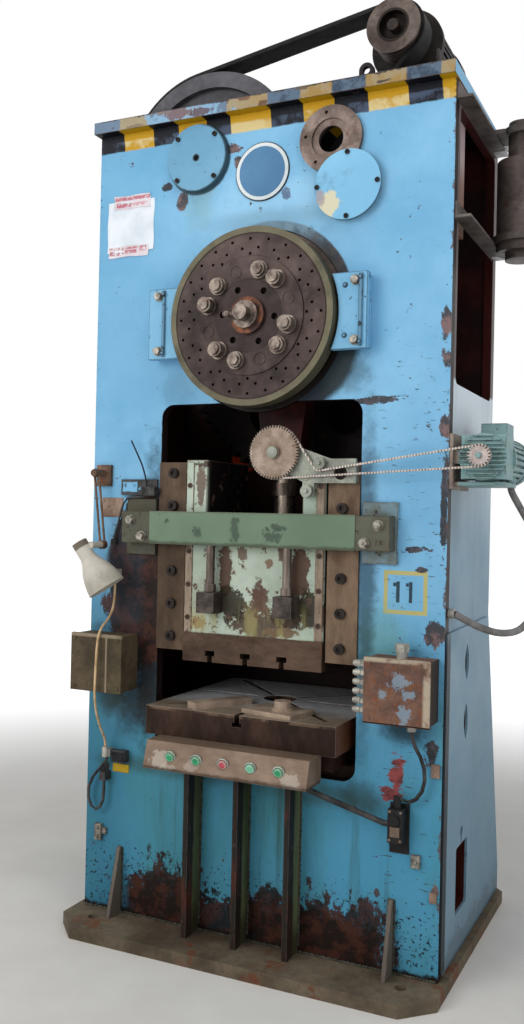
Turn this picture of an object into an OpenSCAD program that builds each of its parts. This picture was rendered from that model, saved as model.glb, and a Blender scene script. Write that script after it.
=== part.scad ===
// Mechanical stamping press with a straight-sided welded frame.
// X runs to the viewer's right, Y to the back and Z up. The origin lies on the floor,
// under the middle of the front plate's face.

/* [Frame] */
// Width over the two side plates
frame_w = 1272; // [1240:4:1320]
// Depth from the front plate's face to the back plate's face
frame_d = 600; // [580:5:660]
// Height of the front plate's lower edge, which is the base plate's thickness
base_t = 40; // [30:1:50]
// Height of the top plate's upper face above the floor
frame_h = 2790; // [2760:5:2840]
// Thickness of the front plate
front_t = 40; // [30:1:45]
// Thickness of a side plate
side_t = 30; // [20:1:36]
// Thickness of the back plate
back_t = 30; // [20:1:36]
// Thickness of the top plate
top_t = 40; // [30:1:46]
// How far the top plate's lip stands out in front
lip_out = 38; // [25:1:45]
// How far the side plates' feet reach behind the front plate's face
foot_d = 850; // [800:5:880]
// Height at which the side plates start to flare out to the back
flare_z = 1100; // [1000:10:1200]

/* [Base] */
// How far the base plate stands out beyond each side plate
base_side = 24; // [16:1:40]
// How far the base plate stands out in front
base_front = 183; // [165:1:200]
// How far the base plate reaches behind the feet
base_rear = 70; // [50:1:100]
// Chamfer on the base plate's corners
base_chamfer = 92; // [60:1:94]
// Radius of an anchor hole
anchor_r = 18; // [14:0.5:22]
// Distance of the anchor holes from the middle
anchor_x = 545; // [535:1:555]
// Distance of the front anchor holes in front of the front plate
anchor_front = 78; // [75:1:90]
// Distance of the rear anchor holes behind the front plate's face
anchor_rear = 780; // [740:1:800]

/* [Window] */
// Width of the working window
window_w = 724; // [716:2:740]
// Height of the window's sill above the floor
window_sill = 600; // [580:5:610]
// Height of the window's head above the floor
window_head = 1795; // [1780:5:1810]
// Corner radius of the window
window_r = 45; // [30:1:60]

/* [Crank] */
// Height of the crank axis
crank_z = 2061; // [2055:1:2070]
// Radius of the round hole round the crank disc
crank_hole_r = 300; // [295:1:305]
// Radius of the crank disc
disc_r = 287; // [280:1:290]
// Thickness of the crank disc
disc_t = 58; // [50:1:62]
// How far the disc's face stands out of the front plate
disc_out = 82; // [75:1:86]
// Radius of the crankshaft
crank_r = 75; // [70:1:78]
// Throw of the eccentric, half of the stroke
throw = 40; // [35:1:40]
// Radius of the eccentric
ecc_r = 125; // [120:1:130]
// Distance of the slide's middle plane behind the front plate's face
mid_y = 235; // [225:1:245]

/* [Drive] */
// Distance of the flywheel shaft to the left of the middle
fly_x = 242; // [238:1:246]
// Height of the flywheel shaft
fly_z = 2622; // [2615:1:2628]
// Radius of the flywheel's rim
fly_r = 322; // [316:1:326]
// Width of the flywheel's rim
fly_w = 96; // [88:1:100]
// Radius of the flywheel shaft
fly_shaft_r = 40; // [36:1:44]
// Teeth on the large gear
gear_teeth = 72; // [70:2:74]
// Teeth on the pinion
pinion_teeth = 16; // [15:1:17]
// Width of the large gear
gear_w = 64; // [56:1:70]
// Distance of the motor's axis to the right of the middle
motor_x = 417; // [410:1:424]
// Height of the motor's axis
motor_z = 2973; // [2968:1:2980]
// Radius of the motor's barrel
motor_r = 112; // [106:1:116]
// Length of the motor's barrel
motor_l = 330; // [310:5:350]
// Radius of the motor pulley
pulley_r = 82; // [78:1:86]
// Thickness of the belt
belt_t = 13; // [10:0.5:15]

/* [Slide] */
// Width of the slide
slide_w = 500; // [494:2:504]
// Depth of the slide
slide_d = 310; // [300:5:320]
// Height of the slide plate's lower face at the top of the stroke
slide_z = 935; // [930:1:950]
// Thickness of the slide plate
slide_plate_t = 95; // [85:1:100]
// Height of the slide's body above the slide plate
slide_body_h = 300; // [290:2:304]
// Height of the slide's ears above the slide plate
slide_ear_h = 575; // [565:5:580]
// Width of a slide ear
slide_ear_w = 76; // [70:1:80]
// Radius of the adjusting screw
screw_r = 38; // [34:1:42]
// Width of a gib's front strip
gib_w = 104; // [102:1:108]
// Height of a gib
gib_h = 632; // [625:1:638]
// Height of a gib's lower end
gib_z = 966; // [962:1:972]
// Running clearance between the slide and a gib
gib_gap = 0.4; // [0.3:0.05:0.6]

/* [Table] */
// Width of the bolster
table_w = 670; // [660:2:680]
// How far the bolster stands out in front
table_out = 105; // [100:1:108]
// Height of the bolster's upper face
table_z = 790; // [785:1:795]
// Thickness of the bolster
table_t = 93; // [86:1:100]
// Width of a table slot
slot_w = 18; // [14:1:22]

/* [Knockout] */
// Height of the cross bar's middle
bar_z = 1377; // [1372:1:1382]
// Height of the cross bar's face
bar_h = 110; // [104:1:116]
// Thickness of the cross bar
bar_t = 30; // [24:1:32]
// How far the cross bar's face stands out of the front plate
bar_out = 62; // [60:1:66]
// Distance of each knockout rod from the middle
rod_x = 137; // [130:1:144]
// Radius of a knockout rod
rod_r = 14; // [11:0.5:16]

/* [Controls] */
// Width of the control panel
panel_w = 564; // [550:2:580]
// Height of the control panel
panel_h = 85; // [80:1:88]
// Spacing of the push buttons
button_pitch = 94; // [88:1:98]
// Radius of a push button
button_r = 14.5; // [13:0.5:16]
// Travel of a push button
button_travel = 5; // [4:0.5:6]

/* [Chain drive] */
// Distance of the large sprocket to the right of the middle
sprocket_x = 86; // [82:1:90]
// Height of the large sprocket's axis
sprocket_z = 1626; // [1622:1:1630]
// Teeth on the large sprocket
sprocket_teeth = 54; // [52:2:56]
// Teeth on the small sprocket
small_teeth = 20; // [18:1:21]
// Pitch of the chain
chain_pitch = 9.525; // [9.5:0.005:9.6]
// Distance of the gear motor's axis to the right of the middle
gearmotor_x = 738; // [734:1:744]
// Height of the gear motor's axis
gearmotor_z = 1612; // [1608:1:1616]

/* [Lamp] */
// Length of the lamp's arm between its knuckles
lamp_arm_l = 250; // [240:2:260]
// Radius of the lamp shade's mouth
shade_r = 66; // [60:1:70]
// Length of the lamp shade
shade_l = 120; // [110:1:128]

/* [Hidden] */
$fn = 64;
rest_gap = 0.3;
run_fit = 0.05;

half_w = frame_w / 2;
top_z = frame_h - top_t;
inner_x = half_w - side_t;
inner_back = frame_d - back_t;
base_x = half_w + base_side;
base_back = foot_d + base_rear;

window_x = window_w / 2;

disc_y0 = -disc_out;
disc_y1 = disc_y0 + disc_t;
bearing_y = 90;
bearing_t = 50;
bearing_h = 180;
housing_y = 4;
housing_t = 20;
boss_r = crank_r + 55;
rod_w = 90;
big_end_r = ecc_r + 55;
big_end_slack = throw * 0.3;
gear_y = inner_back - 150;

left_opening = [130, 1900, 340, top_z - 230];
right_opening = [22, 1840, 40, 60];

port_x = 240;
port_z = 2619;
port_r = 105;
port_hole_r = 42;
cover_r = 110;
cover_t = 10;
port_ring_t = 16;
cover_pivot_x = 303;
cover_pivot_z = 2563;
cover_pin_back = 14;
cover_screw_r = 100;

fly_y = 68;
belt_y = fly_y + 6;
belt_w = fly_w - 12;
gear_m = 2 * norm([fly_x, fly_z - crank_z]) / (gear_teeth + pinion_teeth);
gear_r = gear_m * gear_teeth / 2;
pinion_r = gear_m * pinion_teeth / 2;
mesh_angle = atan2(fly_z - crank_z, -fly_x);
motor_y = fly_y + fly_w + 40;
pulley_y = belt_y - 26;
pulley_l = fly_y + fly_w - pulley_y;

slide_x = slide_w / 2;
slide_y0 = -16;
slide_y1 = slide_y0 + slide_d;
slide_base = slide_z + slide_plate_t;
slide_shoulder = slide_base + slide_body_h;
slide_top = slide_base + slide_ear_h;
gib_y = -8;
gib_strip_t = 40;
gib_depth = 230;
bolt_pitch = 110;
gib_bolt_x = 305;
bolt_first = gib_z + 46;

bed_top = table_z - table_t;
bed_shelf = 640;
bed_x = 310;
table_back = inner_back - 30;
rib_out = 86;
rib_t = 18;

bar_x = window_x + 4;
bracket_w = 110;
lug_top = bar_z - bar_h / 2 - 152;
lug_h = 68;

panel_y = -rib_out;
panel_d = 94;
panel_lean = 25;
panel_top = bed_top;
panel_base = panel_top - panel_h;
panel_tilt = atan(panel_lean / panel_h);
button_z = panel_base + panel_h / 2;
button_y = panel_y - panel_d - panel_lean / 2;
button_well = 16;
button_head = 12;

chain_y = -48;
chain_w = 8;
chain_h = 5;
chain_in = 2.4;
tension_high = [154, -34];
tension_low = [112, -122];
tension_r = 19 + chain_h + 0.6;
sprocket_r = chain_pitch / (2 * sin(180 / sprocket_teeth));
small_r = chain_pitch / (2 * sin(180 / small_teeth));

lamp_x = -592;
lamp_y = -46;
lamp_z = 1560;
lamp_lean = 7;
lamp_reach = 60;
knuckle_r = 15;
lower_knuckle_x = lamp_x + lamp_arm_l * sin(lamp_lean);
lower_knuckle_z = lamp_z - lamp_arm_l * cos(lamp_lean);

box_w = 196;
box_h = 188;
box_d = 108;
box_z = 818;
box_left_x = -636;
box_right_x = 424;

cord_points = [
    [-524, -22, 1216], [-524, -22, 1170], [-524, -24, 1125], [-523, -38, 1085], [-522, -66, 1056],
    [-522, -98, 1034], [-522, -119, 1004], [-523, -125, 960], [-524, -127, 910], [-526, -127, 850],
    [-529, -122, 800], [-533, -106, 750], [-537, -80, 700], [-540, -54, 664], [-541, -38, 638],
    [-541, -34, 612]
];
cord_end = len(cord_points) - 1;
hose_points = [
    [654, 40, 1140], [690, 60, 1118], [730, 90, 1096], [776, 130, 1082], [820, 170, 1090],
    [852, 205, 1130], [866, 230, 1190], [868, 244, 1260], [856, 246, 1340], [836, 240, 1410],
    [806, 222, 1470], [786, 210, 1510], [780, 208, 1532]
];
hose_end = len(hose_points) - 1;

blue = [0.36, 0.66, 0.84];
pale_blue = [0.62, 0.74, 0.80];
pale_green = [0.80, 0.86, 0.76];
bar_green = [0.46, 0.60, 0.47];
teal = [0.25, 0.55, 0.50];
brown = [0.36, 0.27, 0.21];
rust = [0.42, 0.22, 0.14];
steel = [0.58, 0.56, 0.54];
dark = [0.13, 0.12, 0.12];
maroon = [0.30, 0.09, 0.09];

// A flat outline in X and Z, thickened from y0 to y1
module slab_y(y0, y1) {
    translate([0, y1, 0])
        rotate([90, 0, 0])
            linear_extrude(y1 - y0) children();
}

// A flat outline in Y and Z, thickened from x0 to x1
module slab_x(x0, x1) {
    translate([x0, 0, 0])
        rotate([90, 0, 90])
            linear_extrude(x1 - x0) children();
}

// A flat outline in X and Y, thickened from z0 to z1
module slab_z(z0, z1) {
    translate([0, 0, z0])
        linear_extrude(z1 - z0) children();
}

// A block between two corners
module block(low, high) {
    translate(low) cube(high - low);
}

// A round bar along Y
module rod_y(r, y0, y1, x = 0, z = 0) {
    slab_y(y0, y1) translate([x, z]) circle(r);
}

// A rectangle with rounded corners, given by its low corner and size
module round_rect(low, size, r) {
    translate([low[0] + r, low[1]]) square([size[0] - 2 * r, size[1]]);
    translate([low[0], low[1] + r]) square([size[0], size[1] - 2 * r]);
    for (dx = [r, size[0] - r])
        for (dy = [r, size[1] - r])
            translate([low[0] + dx, low[1] + dy]) circle(r);
}

// A hexagon bolt head with its washer, standing out towards the viewer from the face at y
module hex_head(x, y, z, size) {
    rod_y(size * 0.66, y - size * 0.14, y, x, z);
    slab_y(y - size * 0.7, y - size * 0.14)
        translate([x, z]) circle(size * 0.55, $fn = 6);
}

// A socket screw head with a hexagon recess, standing out from the face at y
module socket_head(x, y, z, r, h) {
    difference() {
        rod_y(r, y - h, y, x, z);
        slab_y(y - h - 1, y - h * 0.4)
            translate([x, z]) circle(r * 0.5, $fn = 6);
    }
}

// Points round an arc, as [x, y] pairs
function arc(cx, cy, r, a0, a1, n) =
    [for (i = [0 : n]) [cx + r * cos(a0 + (a1 - a0) * i / n), cy + r * sin(a0 + (a1 - a0) * i / n)]];

// The outline of a toothed wheel: root, flank and tip points of each tooth in turn
function wheel(n, root, tip, share_root, share_tip, first) = [
    for (i = [0 : n - 1])
        for (k = [[-share_root, root], [-share_tip, tip], [share_tip, tip], [share_root, root]])
            [k[1] * cos(first + (i + k[0]) * 360 / n), k[1] * sin(first + (i + k[0]) * 360 / n)]
];

// Where a chain or belt leaves each wheel. A wheel is [x, z, radius, side], and side is -1 for a
// roller that presses on the outside of the loop. The answer is the angle of the outward normal.
function leave(a, b) =
    atan2(b[1] - a[1], b[0] - a[0]) - 90
    + asin((a[2] * a[3] - b[2] * b[3]) / norm([b[0] - a[0], b[1] - a[1]]));

// The turn round a wheel, brought to the sign of its side
function turn(a, side) = side > 0 ? (a % 360 + 360) % 360 : -((-a % 360 + 360) % 360);

// One stretch of the loop per wheel: [wheel, first angle, turn, arc length, straight length after it]
function stretches(w) = [
    for (i = [0 : len(w) - 1])
        let (b = w[(i + len(w) - 1) % len(w)], a = w[i], c = w[(i + 1) % len(w)],
             first = leave(b, a), sweep = turn(leave(a, c) - first, a[3]), last = first + sweep,
             from = [a[0], a[1]] + a[2] * a[3] * [cos(last), sin(last)],
             to = [c[0], c[1]] + c[2] * c[3] * [cos(last), sin(last)])
            [a, first, sweep, abs(sweep) * PI / 180 * a[2], norm(to - from)]
];

// Length of the loop's centre line
function loop_length(st, i = 0) = i == len(st) ? 0 : st[i][3] + st[i][4] + loop_length(st, i + 1);

// The point at a length along the loop, moved out by grow
function loop_point(st, run, grow, i = 0) =
    let (a = st[i][0], arc_l = st[i][3], whole = arc_l + st[i][4])
        run > whole && i < len(st) - 1 ? loop_point(st, run - whole, grow, i + 1) :
        let (b = st[i][1] + (arc_l == 0 ? 0 : st[i][2] * min(run, arc_l) / arc_l), on = max(run - arc_l, 0))
            [a[0], a[1]] + (a[2] * a[3] + grow) * [cos(b), sin(b)] + on * [-sin(b), cos(b)];

// The closed path round two pulleys, at a set distance outside their radii
module loop_outline(xa, za, ra, xb, zb, rb, grow) {
    span = norm([xb - xa, zb - za]);
    lie = atan2(zb - za, xb - xa);
    wrap = acos((ra - rb) / span);
    polygon(concat(
        arc(xa, za, ra + grow, lie + wrap, lie + 360 - wrap, 72),
        arc(xb, zb, rb + grow, lie - wrap, lie + wrap, 36)
    ));
}

module base_plate() {
    c = base_chamfer;
    color(brown)
        difference() {
            slab_z(0, base_t)
                polygon([
                    [-base_x + c, -base_front], [base_x - c, -base_front], [base_x, -base_front + c],
                    [base_x, base_back - c], [base_x - c, base_back], [-base_x + c, base_back],
                    [-base_x, base_back - c], [-base_x, -base_front + c]
                ]);
            for (x = [-anchor_x, anchor_x])
                for (y = [-anchor_front, anchor_rear])
                    translate([x, y, -1]) cylinder(r = anchor_r, h = base_t + 2);
        }
}

module front_plate() {
    color(blue)
        difference() {
            slab_y(0, front_t)
                difference() {
                    translate([-half_w, base_t]) square([frame_w, top_z - base_t]);
                    round_rect([-window_x, window_sill], [window_w, window_head - window_sill], window_r);
                    translate([0, crank_z]) circle(crank_hole_r, $fn = 128);
                    translate([-fly_x, fly_z]) circle(fly_shaft_r + run_fit);
                    translate([port_x, port_z]) circle(port_hole_r + 14);
                }
            rod_y(6, -1, cover_pin_back, cover_pivot_x, cover_pivot_z);
        }
}

// The side plates' outline in Y and Z
module side_outline() {
    polygon([
        [front_t, base_t], [foot_d, base_t], [foot_d, base_t + 90],
        [frame_d, flare_z], [frame_d, top_z], [front_t, top_z]
    ]);
}

module side_plate_left() {
    color(pale_blue)
        difference() {
            slab_x(-half_w, -inner_x) side_outline();
            slab_x(-half_w - 1, -inner_x + 1)
                round_rect([left_opening[0], left_opening[1]],
                           [left_opening[2], left_opening[3] - left_opening[1]], 60);
        }
}

module side_plate_right() {
    color(pale_blue)
        slab_x(inner_x, half_w)
            difference() {
                side_outline();
                round_rect([front_t + right_opening[0], right_opening[1]],
                           [frame_d - front_t - right_opening[0] - right_opening[2],
                            top_z - right_opening[1] - right_opening[3]], 24);
                panel_cuts();
            }
}

module back_plate() {
    color(pale_blue)
        slab_y(inner_back, frame_d)
            difference() {
                translate([-inner_x, base_t]) square([2 * inner_x, top_z - base_t]);
                translate([0, crank_z]) circle(crank_r + run_fit);
                translate([-fly_x, fly_z]) circle(fly_shaft_r + run_fit);
                translate([port_x, port_z]) circle(port_hole_r + 14);
            }
}

module top_plate() {
    color(blue)
        slab_z(top_z, frame_h)
            difference() {
                translate([-half_w - 6, -lip_out]) square([frame_w + 12, frame_d + lip_out]);
                translate([-fly_x - fly_r - 26, fly_y - 14])
                    square([2 * fly_r + 52, fly_w + 28]);
                translate([-fly_x + fly_r - 60, fly_y - 14])
                    square([motor_x - pulley_r * 2 + 200, fly_w + 28]);
            }
}

// The side panel's two leaf slots, keyhole and square hatch
leaf_y = 266;
leaf_z = [967, 775];
leaf_r = 78;
leaf_shift = 52;
keyhole = [236, 430];
keyhole_r = 16;
hatch_low = [170, 180];
hatch_size = [148, 210];
module panel_cuts() {
    for (z = leaf_z)
        intersection() {
            translate([leaf_y - leaf_shift, z]) circle(leaf_r);
            translate([leaf_y + leaf_shift, z]) circle(leaf_r);
        }
    translate(keyhole) circle(keyhole_r);
    translate([keyhole[0] - 6, keyhole[1] - 38]) square([12, 38]);
    round_rect(hatch_low, hatch_size, 10);
}

module side_panel() {
    color(pale_blue)
        slab_x(half_w, half_w + 6)
            difference() {
                polygon([
                    [10, base_t + 22], [10, 1080], [frame_d - 46, 1088],
                    [foot_d - 52, base_t + 96], [foot_d - 52, base_t + 22]
                ]);
                panel_cuts();
            }
}

rib_x = [-188, -8, 172];
gusset_x = [-492, 488];
gusset_t = 14;
module front_ribs() {
    color(brown) {
        for (x = rib_x)
            block([x - rib_t / 2, -rib_out, base_t], [x + rib_t / 2, 0, bed_shelf]);
        for (x = gusset_x)
            slab_x(x - gusset_t / 2, x + gusset_t / 2)
                polygon([[0, base_t], [-72, base_t], [-56, base_t + 60], [-12, base_t + 226], [0, base_t + 226]]);
    }
}

module bed() {
    color(brown) {
        block([-inner_x, front_t, bed_shelf - 80], [inner_x, inner_back, bed_shelf]);
        block([-bed_x, -60, bed_shelf], [bed_x, inner_back, bed_top]);
    }
}

module bolster() {
    cut = table_z - 24;
    color(brown)
        difference() {
            block([-table_w / 2, -table_out, bed_top], [table_w / 2, table_back, table_z]);
            translate([0, mid_y, cut]) {
                for (a = [45 : 90 : 315])
                    rotate([0, 0, a]) translate([70, -slot_w / 2, 0]) cube([330, slot_w, 30]);
                for (a = [0, 180])
                    rotate([0, 0, a]) translate([90, -slot_w / 2, 0]) cube([table_w, slot_w, 30]);
                cylinder(r = 58, h = 30);
            }
            block([-slot_w / 2, -table_out - 1, cut], [slot_w / 2, mid_y - 90, table_z + 1]);
            block([-slot_w, -table_out - 1, cut - 14], [slot_w, mid_y - 90, cut + 0.01]);
        }
}

// One gib: a strip flush with the front plate, and the guide block behind it
module gib(side) {
    inner = slide_x + gib_gap;
    outer = window_x - 1;
    scale_x = side;
    mirror([scale_x < 0 ? 1 : 0, 0, 0]) {
        block([outer - gib_w, gib_y, gib_z], [outer, gib_y + gib_strip_t, gib_z + gib_h]);
        block([inner, gib_y + gib_strip_t, gib_z], [outer, gib_depth, gib_z + gib_h]);
        block([outer, front_t, gib_z + 30], [inner_x, gib_depth - 60, gib_z + 90]);
        block([outer, front_t, gib_z + gib_h - 90], [inner_x, gib_depth - 60, gib_z + gib_h - 30]);
    }
}

module gibs() {
    color(brown) {
        gib(1);
        gib(-1);
    }
}

module knockout_bar() {
    color(bar_green)
        difference() {
            block([-bar_x, -bar_out, bar_z - bar_h / 2], [bar_x, -bar_out + bar_t, bar_z + bar_h / 2]);
            for (x = [-rod_x, rod_x])
                translate([x, -bar_out + bar_t / 2, bar_z - bar_h / 2 - 1])
                    cylinder(r = rod_r - 3, h = bar_h + 2);
        }
}

module bar_brackets() {
    color(bar_green)
        for (s = [-1, 1]) {
            mirror([s < 0 ? 1 : 0, 0, 0]) {
                block([bar_x + 6, -12, bar_z - 94], [bar_x + bracket_w + 10, 0, bar_z + 96]);
                block([bar_x, -bar_out + 2, bar_z - bar_h / 2 + 2],
                      [bar_x + bracket_w, -12, bar_z + bar_h / 2 - 2]);
            }
        }
}

module knockout_rods() {
    y = -bar_out + bar_t / 2;
    low = bar_z - bar_h / 2;
    color(steel)
        for (x = [-rod_x, rod_x])
            translate([x, y, 0]) {
                translate([0, 0, lug_top + 2]) cylinder(r = rod_r + 5, h = 24);
                translate([0, 0, lug_top + 26]) cylinder(r = rod_r, h = low - lug_top - 26);
                translate([0, 0, low]) cylinder(r = rod_r - 3, h = bar_h);
            }
}

shaft_cover_r = 112;
shaft_cover_t = 18;
module shaft_cover() {
    color(blue)
        difference() {
            rod_y(shaft_cover_r, -shaft_cover_t, 0, -fly_x, fly_z);
            rod_y(9, -shaft_cover_t - 1, -4, -fly_x, fly_z);
        }
}

module port_ring() {
    color(rust)
        difference() {
            rod_y(port_r, -port_ring_t, 0, port_x, port_z);
            rod_y(port_hole_r, -port_ring_t - 1, 1, port_x, port_z);
            rod_y(port_hole_r + 22, -port_ring_t - 1, -port_ring_t + 6, port_x, port_z);
            rod_y(6, -port_ring_t - 1, 1, cover_pivot_x, cover_pivot_z);
            for (a = [100, 170, 235])
                rod_y(6, -port_ring_t - 1, -6, port_x + 85 * cos(a), port_z + 85 * sin(a));
        }
}

module crank_pads() {
    color(pale_blue)
        for (s = [-1, 1])
            mirror([s < 0 ? 1 : 0, 0, 0])
                difference() {
                    union() {
                        block([272, -56, crank_z - 118], [388, -30, crank_z + 118]);
                        block([300, -30, crank_z - 112], [384, 0, crank_z + 112]);
                    }
                    rod_y(disc_r + 9, -60, 1, 0, crank_z);
                }
}

module crank_bearings() {
    color(maroon)
        difference() {
            union() {
                block([-inner_x, bearing_y, crank_z - bearing_h],
                      [inner_x, bearing_y + bearing_t, crank_z + bearing_h]);
                rod_y(crank_hole_r - 2, housing_y, housing_y + housing_t, 0, crank_z);
                rod_y(boss_r, housing_y + housing_t, bearing_y, 0, crank_z);
                rod_y(boss_r, inner_back - 40, inner_back, 0, crank_z);
            }
            rod_y(crank_r + run_fit, housing_y - 1, inner_back + 1, 0, crank_z);
        }
}

module frame_bolts() {
    color(dark) {
        for (s = [-1, 1]) {
            for (i = [0 : 5])
                socket_head(s * gib_bolt_x, gib_y, bolt_first + i * bolt_pitch, 17, 11);
            hex_head(s * (bar_x + 30), -bar_out + 2, bar_z - 30, 26);
            hex_head(s * (bar_x + 74), -bar_out + 2, bar_z + 24, 26);
            for (dz = [-92, 92])
                hex_head(s * 350, -56, crank_z + dz, 24);
        }
        for (a = [45 : 90 : 315])
            socket_head(-fly_x + (shaft_cover_r - 13) * cos(a), -shaft_cover_t,
                        fly_z + (shaft_cover_r - 13) * sin(a), 8, 7);
    }
}

// An electrical box with a lid that overlaps its body
module electrical_box(x, z) {
    block([x, -box_d + 14, z], [x + box_w, 0, z + box_h]);
    block([x - 4, -box_d, z - 4], [x + box_w + 4, -box_d + 14, z + box_h + 4]);
    for (dx = [12, box_w - 12])
        for (dz = [12, box_h - 12])
            rod_y(6, -box_d - 4, -box_d, x + dx, z + dz);
}

module junction_box_left() {
    color(rust) electrical_box(box_left_x, box_z);
}

module junction_box_right() {
    color(rust) electrical_box(box_right_x, box_z);
}

gland_l = 54;
module cable_fittings() {
    color(steel) {
        for (i = [0 : 5])
            translate([box_right_x - gland_l, -56, box_z + 24 + i * 28])
                rotate([0, 90, 0]) {
                    cylinder(r = 8, h = gland_l);
                    translate([0, 0, 6]) cylinder(r = 11, h = 18);
                    translate([0, 0, 26]) cylinder(r = 12.5, h = 12, $fn = 6);
                    translate([0, 0, 42]) cylinder(r = 11.5, h = gland_l - 42);
                }
        translate([box_right_x + 96, -50, box_z + box_h]) cylinder(r = 17, h = 20);
        translate([box_right_x + 96, -50, box_z + box_h + 20]) cylinder(r = 22, h = 24, $fn = 6);
        translate([box_right_x + 130, -50, box_z - 26]) cylinder(r = 14, h = 26);
        translate([half_w, hose_points[0][1], hose_points[0][2]])
            rotate([0, 90, 0]) cylinder(r = 15, h = hose_points[0][0] - half_w);
        translate([cord_points[0][0], 0, cord_points[0][2]]) {
            block([-12, cord_points[0][1], -12], [12, 0, 12]);
        }
        translate([cord_points[cord_end][0], 0, cord_points[cord_end][2]]) {
            block([-15, -30, -34], [15, 0, -8]);
            translate([0, cord_points[cord_end][1], -34]) cylinder(r = 11, h = 34);
        }
    }
}

module socket_box() {
    color(dark) {
        block([480, -8, 410], [540, 0, 560]);
        block([486, -52, 452], [532, -8, 552]);
        rod_y(15, -60, -52, 509, 520);
        translate([509, -30, 552]) cylinder(r = 12, h = 36);
        block([494, -44, 440], [524, -12, 452]);
    }
}

module control_panel() {
    color(steel)
        difference() {
            slab_x(-panel_w / 2, panel_w / 2)
                polygon([
                    [panel_y, panel_base], [panel_y - panel_d - panel_lean, panel_base],
                    [panel_y - panel_d, panel_top], [panel_y, panel_top]
                ]);
            for (i = [-2 : 2])
                translate([i * button_pitch, button_y, button_z])
                    rotate([panel_tilt, 0, 0])
                        rod_y(button_r + 0.5, -20, button_well);
        }
}

// A push button, which slides into its well square to the sloping face
module button(i) {
    translate([i * button_pitch, button_y, button_z])
        rotate([panel_tilt, 0, 0]) {
            rod_y(button_r, -6, button_well - button_travel - 1);
            rod_y(button_r - 3, -button_head + 3, -6);
        }
}

module button_1() {
    color("seagreen") button(-2);
}

module button_2() {
    color("seagreen") button(-1);
}

module button_3() {
    color("firebrick") button(0);
}

module button_4() {
    color("mediumseagreen") button(1);
}

module button_5() {
    color("seagreen") button(2);
}

// A round tube swept along hand-chosen points, with straight pieces and flat ends
function tube_dir(p, i) =
    let (a = p[max(i - 1, 0)], b = p[min(i + 1, len(p) - 1)]) (b - a) / norm(b - a);
function tube_side(d) = let (s = cross(d, abs(d[2]) > 0.9 ? [0, 1, 0] : [0, 0, 1])) s / norm(s);
module tube(p, r, n) {
    points = [
        for (i = [0 : len(p) - 1])
            let (d = tube_dir(p, i), s = tube_side([0.02, 0.98, 0.05]), u = cross(d, s) / norm(cross(d, s)),
                 v = cross(u, d))
                for (k = [0 : n - 1]) p[i] + r * (u * cos(360 * k / n) + v * sin(360 * k / n))
    ];
    last = (len(p) - 1) * n;
    faces = concat(
        [[for (k = [n - 1 : -1 : 0]) k]],
        [[for (k = [0 : n - 1]) last + k]],
        [for (i = [0 : len(p) - 2]) for (k = [0 : n - 1])
            [i * n + k, i * n + (k + 1) % n, (i + 1) * n + (k + 1) % n, (i + 1) * n + k]]
    );
    polyhedron(points, faces);
}

// A straight round bar between two points
module strut(a, b, r) {
    d = b - a;
    translate(a)
        rotate([0, acos(d[2] / norm(d)), atan2(d[1], d[0])]) cylinder(r = r, h = norm(d));
}

// The conduit from the control panel to the small socket box, and the cable that loops from the
// right junction box down to it
conduit_r = 9;
conduit_a = [236, -104, 592];
conduit_b = [468, -34, 503];
conduit_c = [486, -34, 503];
loop_points = [
    [554, -50, 792], [556, -49, 770], [566, -46, 744], [580, -40, 716], [590, -34, 682], [592, -30, 646],
    [584, -29, 612], [566, -29, 586], [544, -29, 574], [524, -29, 578], [512, -30, 588]
];
left_loop = [
    [-541, -20, 582], [-546, -20, 560], [-566, -22, 536], [-596, -24, 500], [-612, -26, 462],
    [-612, -26, 426], [-600, -26, 398], [-580, -26, 388], [-562, -26, 400], [-551, -26, 426],
    [-549, -26, 460], [-549, -26, 496]
];
switch_cable = [
    [-398, -24, 1486], [-414, -20, 1480], [-450, -18, 1478], [-484, -18, 1474], [-500, -16, 1456],
    [-512, -12, 1430], [-522, -10, 1398], [-532, -10, 1362], [-540, -10, 1330]
];
module conduits() {
    color(dark) {
        strut([conduit_a[0], conduit_a[1], panel_base], conduit_a, conduit_r);
        translate(conduit_a) sphere(r = conduit_r, $fn = 32);
        strut(conduit_a, conduit_b, conduit_r);
        translate(conduit_b) sphere(r = conduit_r, $fn = 32);
        strut(conduit_b, conduit_c, conduit_r);
        tube(loop_points, 6, 8);
        tube(left_loop, 5.5, 8);
        tube(switch_cable, 3.5, 8);
        block([-518, -30, 562], [-466, 0, 602]);
        block([-560, -38, 494], [-538, 0, 524]);
        block([-549, -16, 1312], [-531, 0, 1332]);
        block([-416, -34, 1484], [-366, -8, 1514]);
        block([-516, -8, 1486], [-372, 0, 1540]);
    }
}

module lamp_base() {
    color(brown) {
        block([lamp_x - 24, -14, lamp_z - 44], [lamp_x + 34, 0, lamp_z + 30]);
        block([lamp_x - 12, lamp_y + 13, lamp_z - 12], [lamp_x + 12, -14, lamp_z + 12]);
        rod_y(knuckle_r - 2, lamp_y + 8.4, lamp_y + 13, lamp_x, lamp_z);
        rod_y(4, lamp_y - 14, lamp_y + 8.4, lamp_x, lamp_z);
        rod_y(knuckle_r - 3, lamp_y - 22, lamp_y - 14, lamp_x, lamp_z);
    }
}

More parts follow.
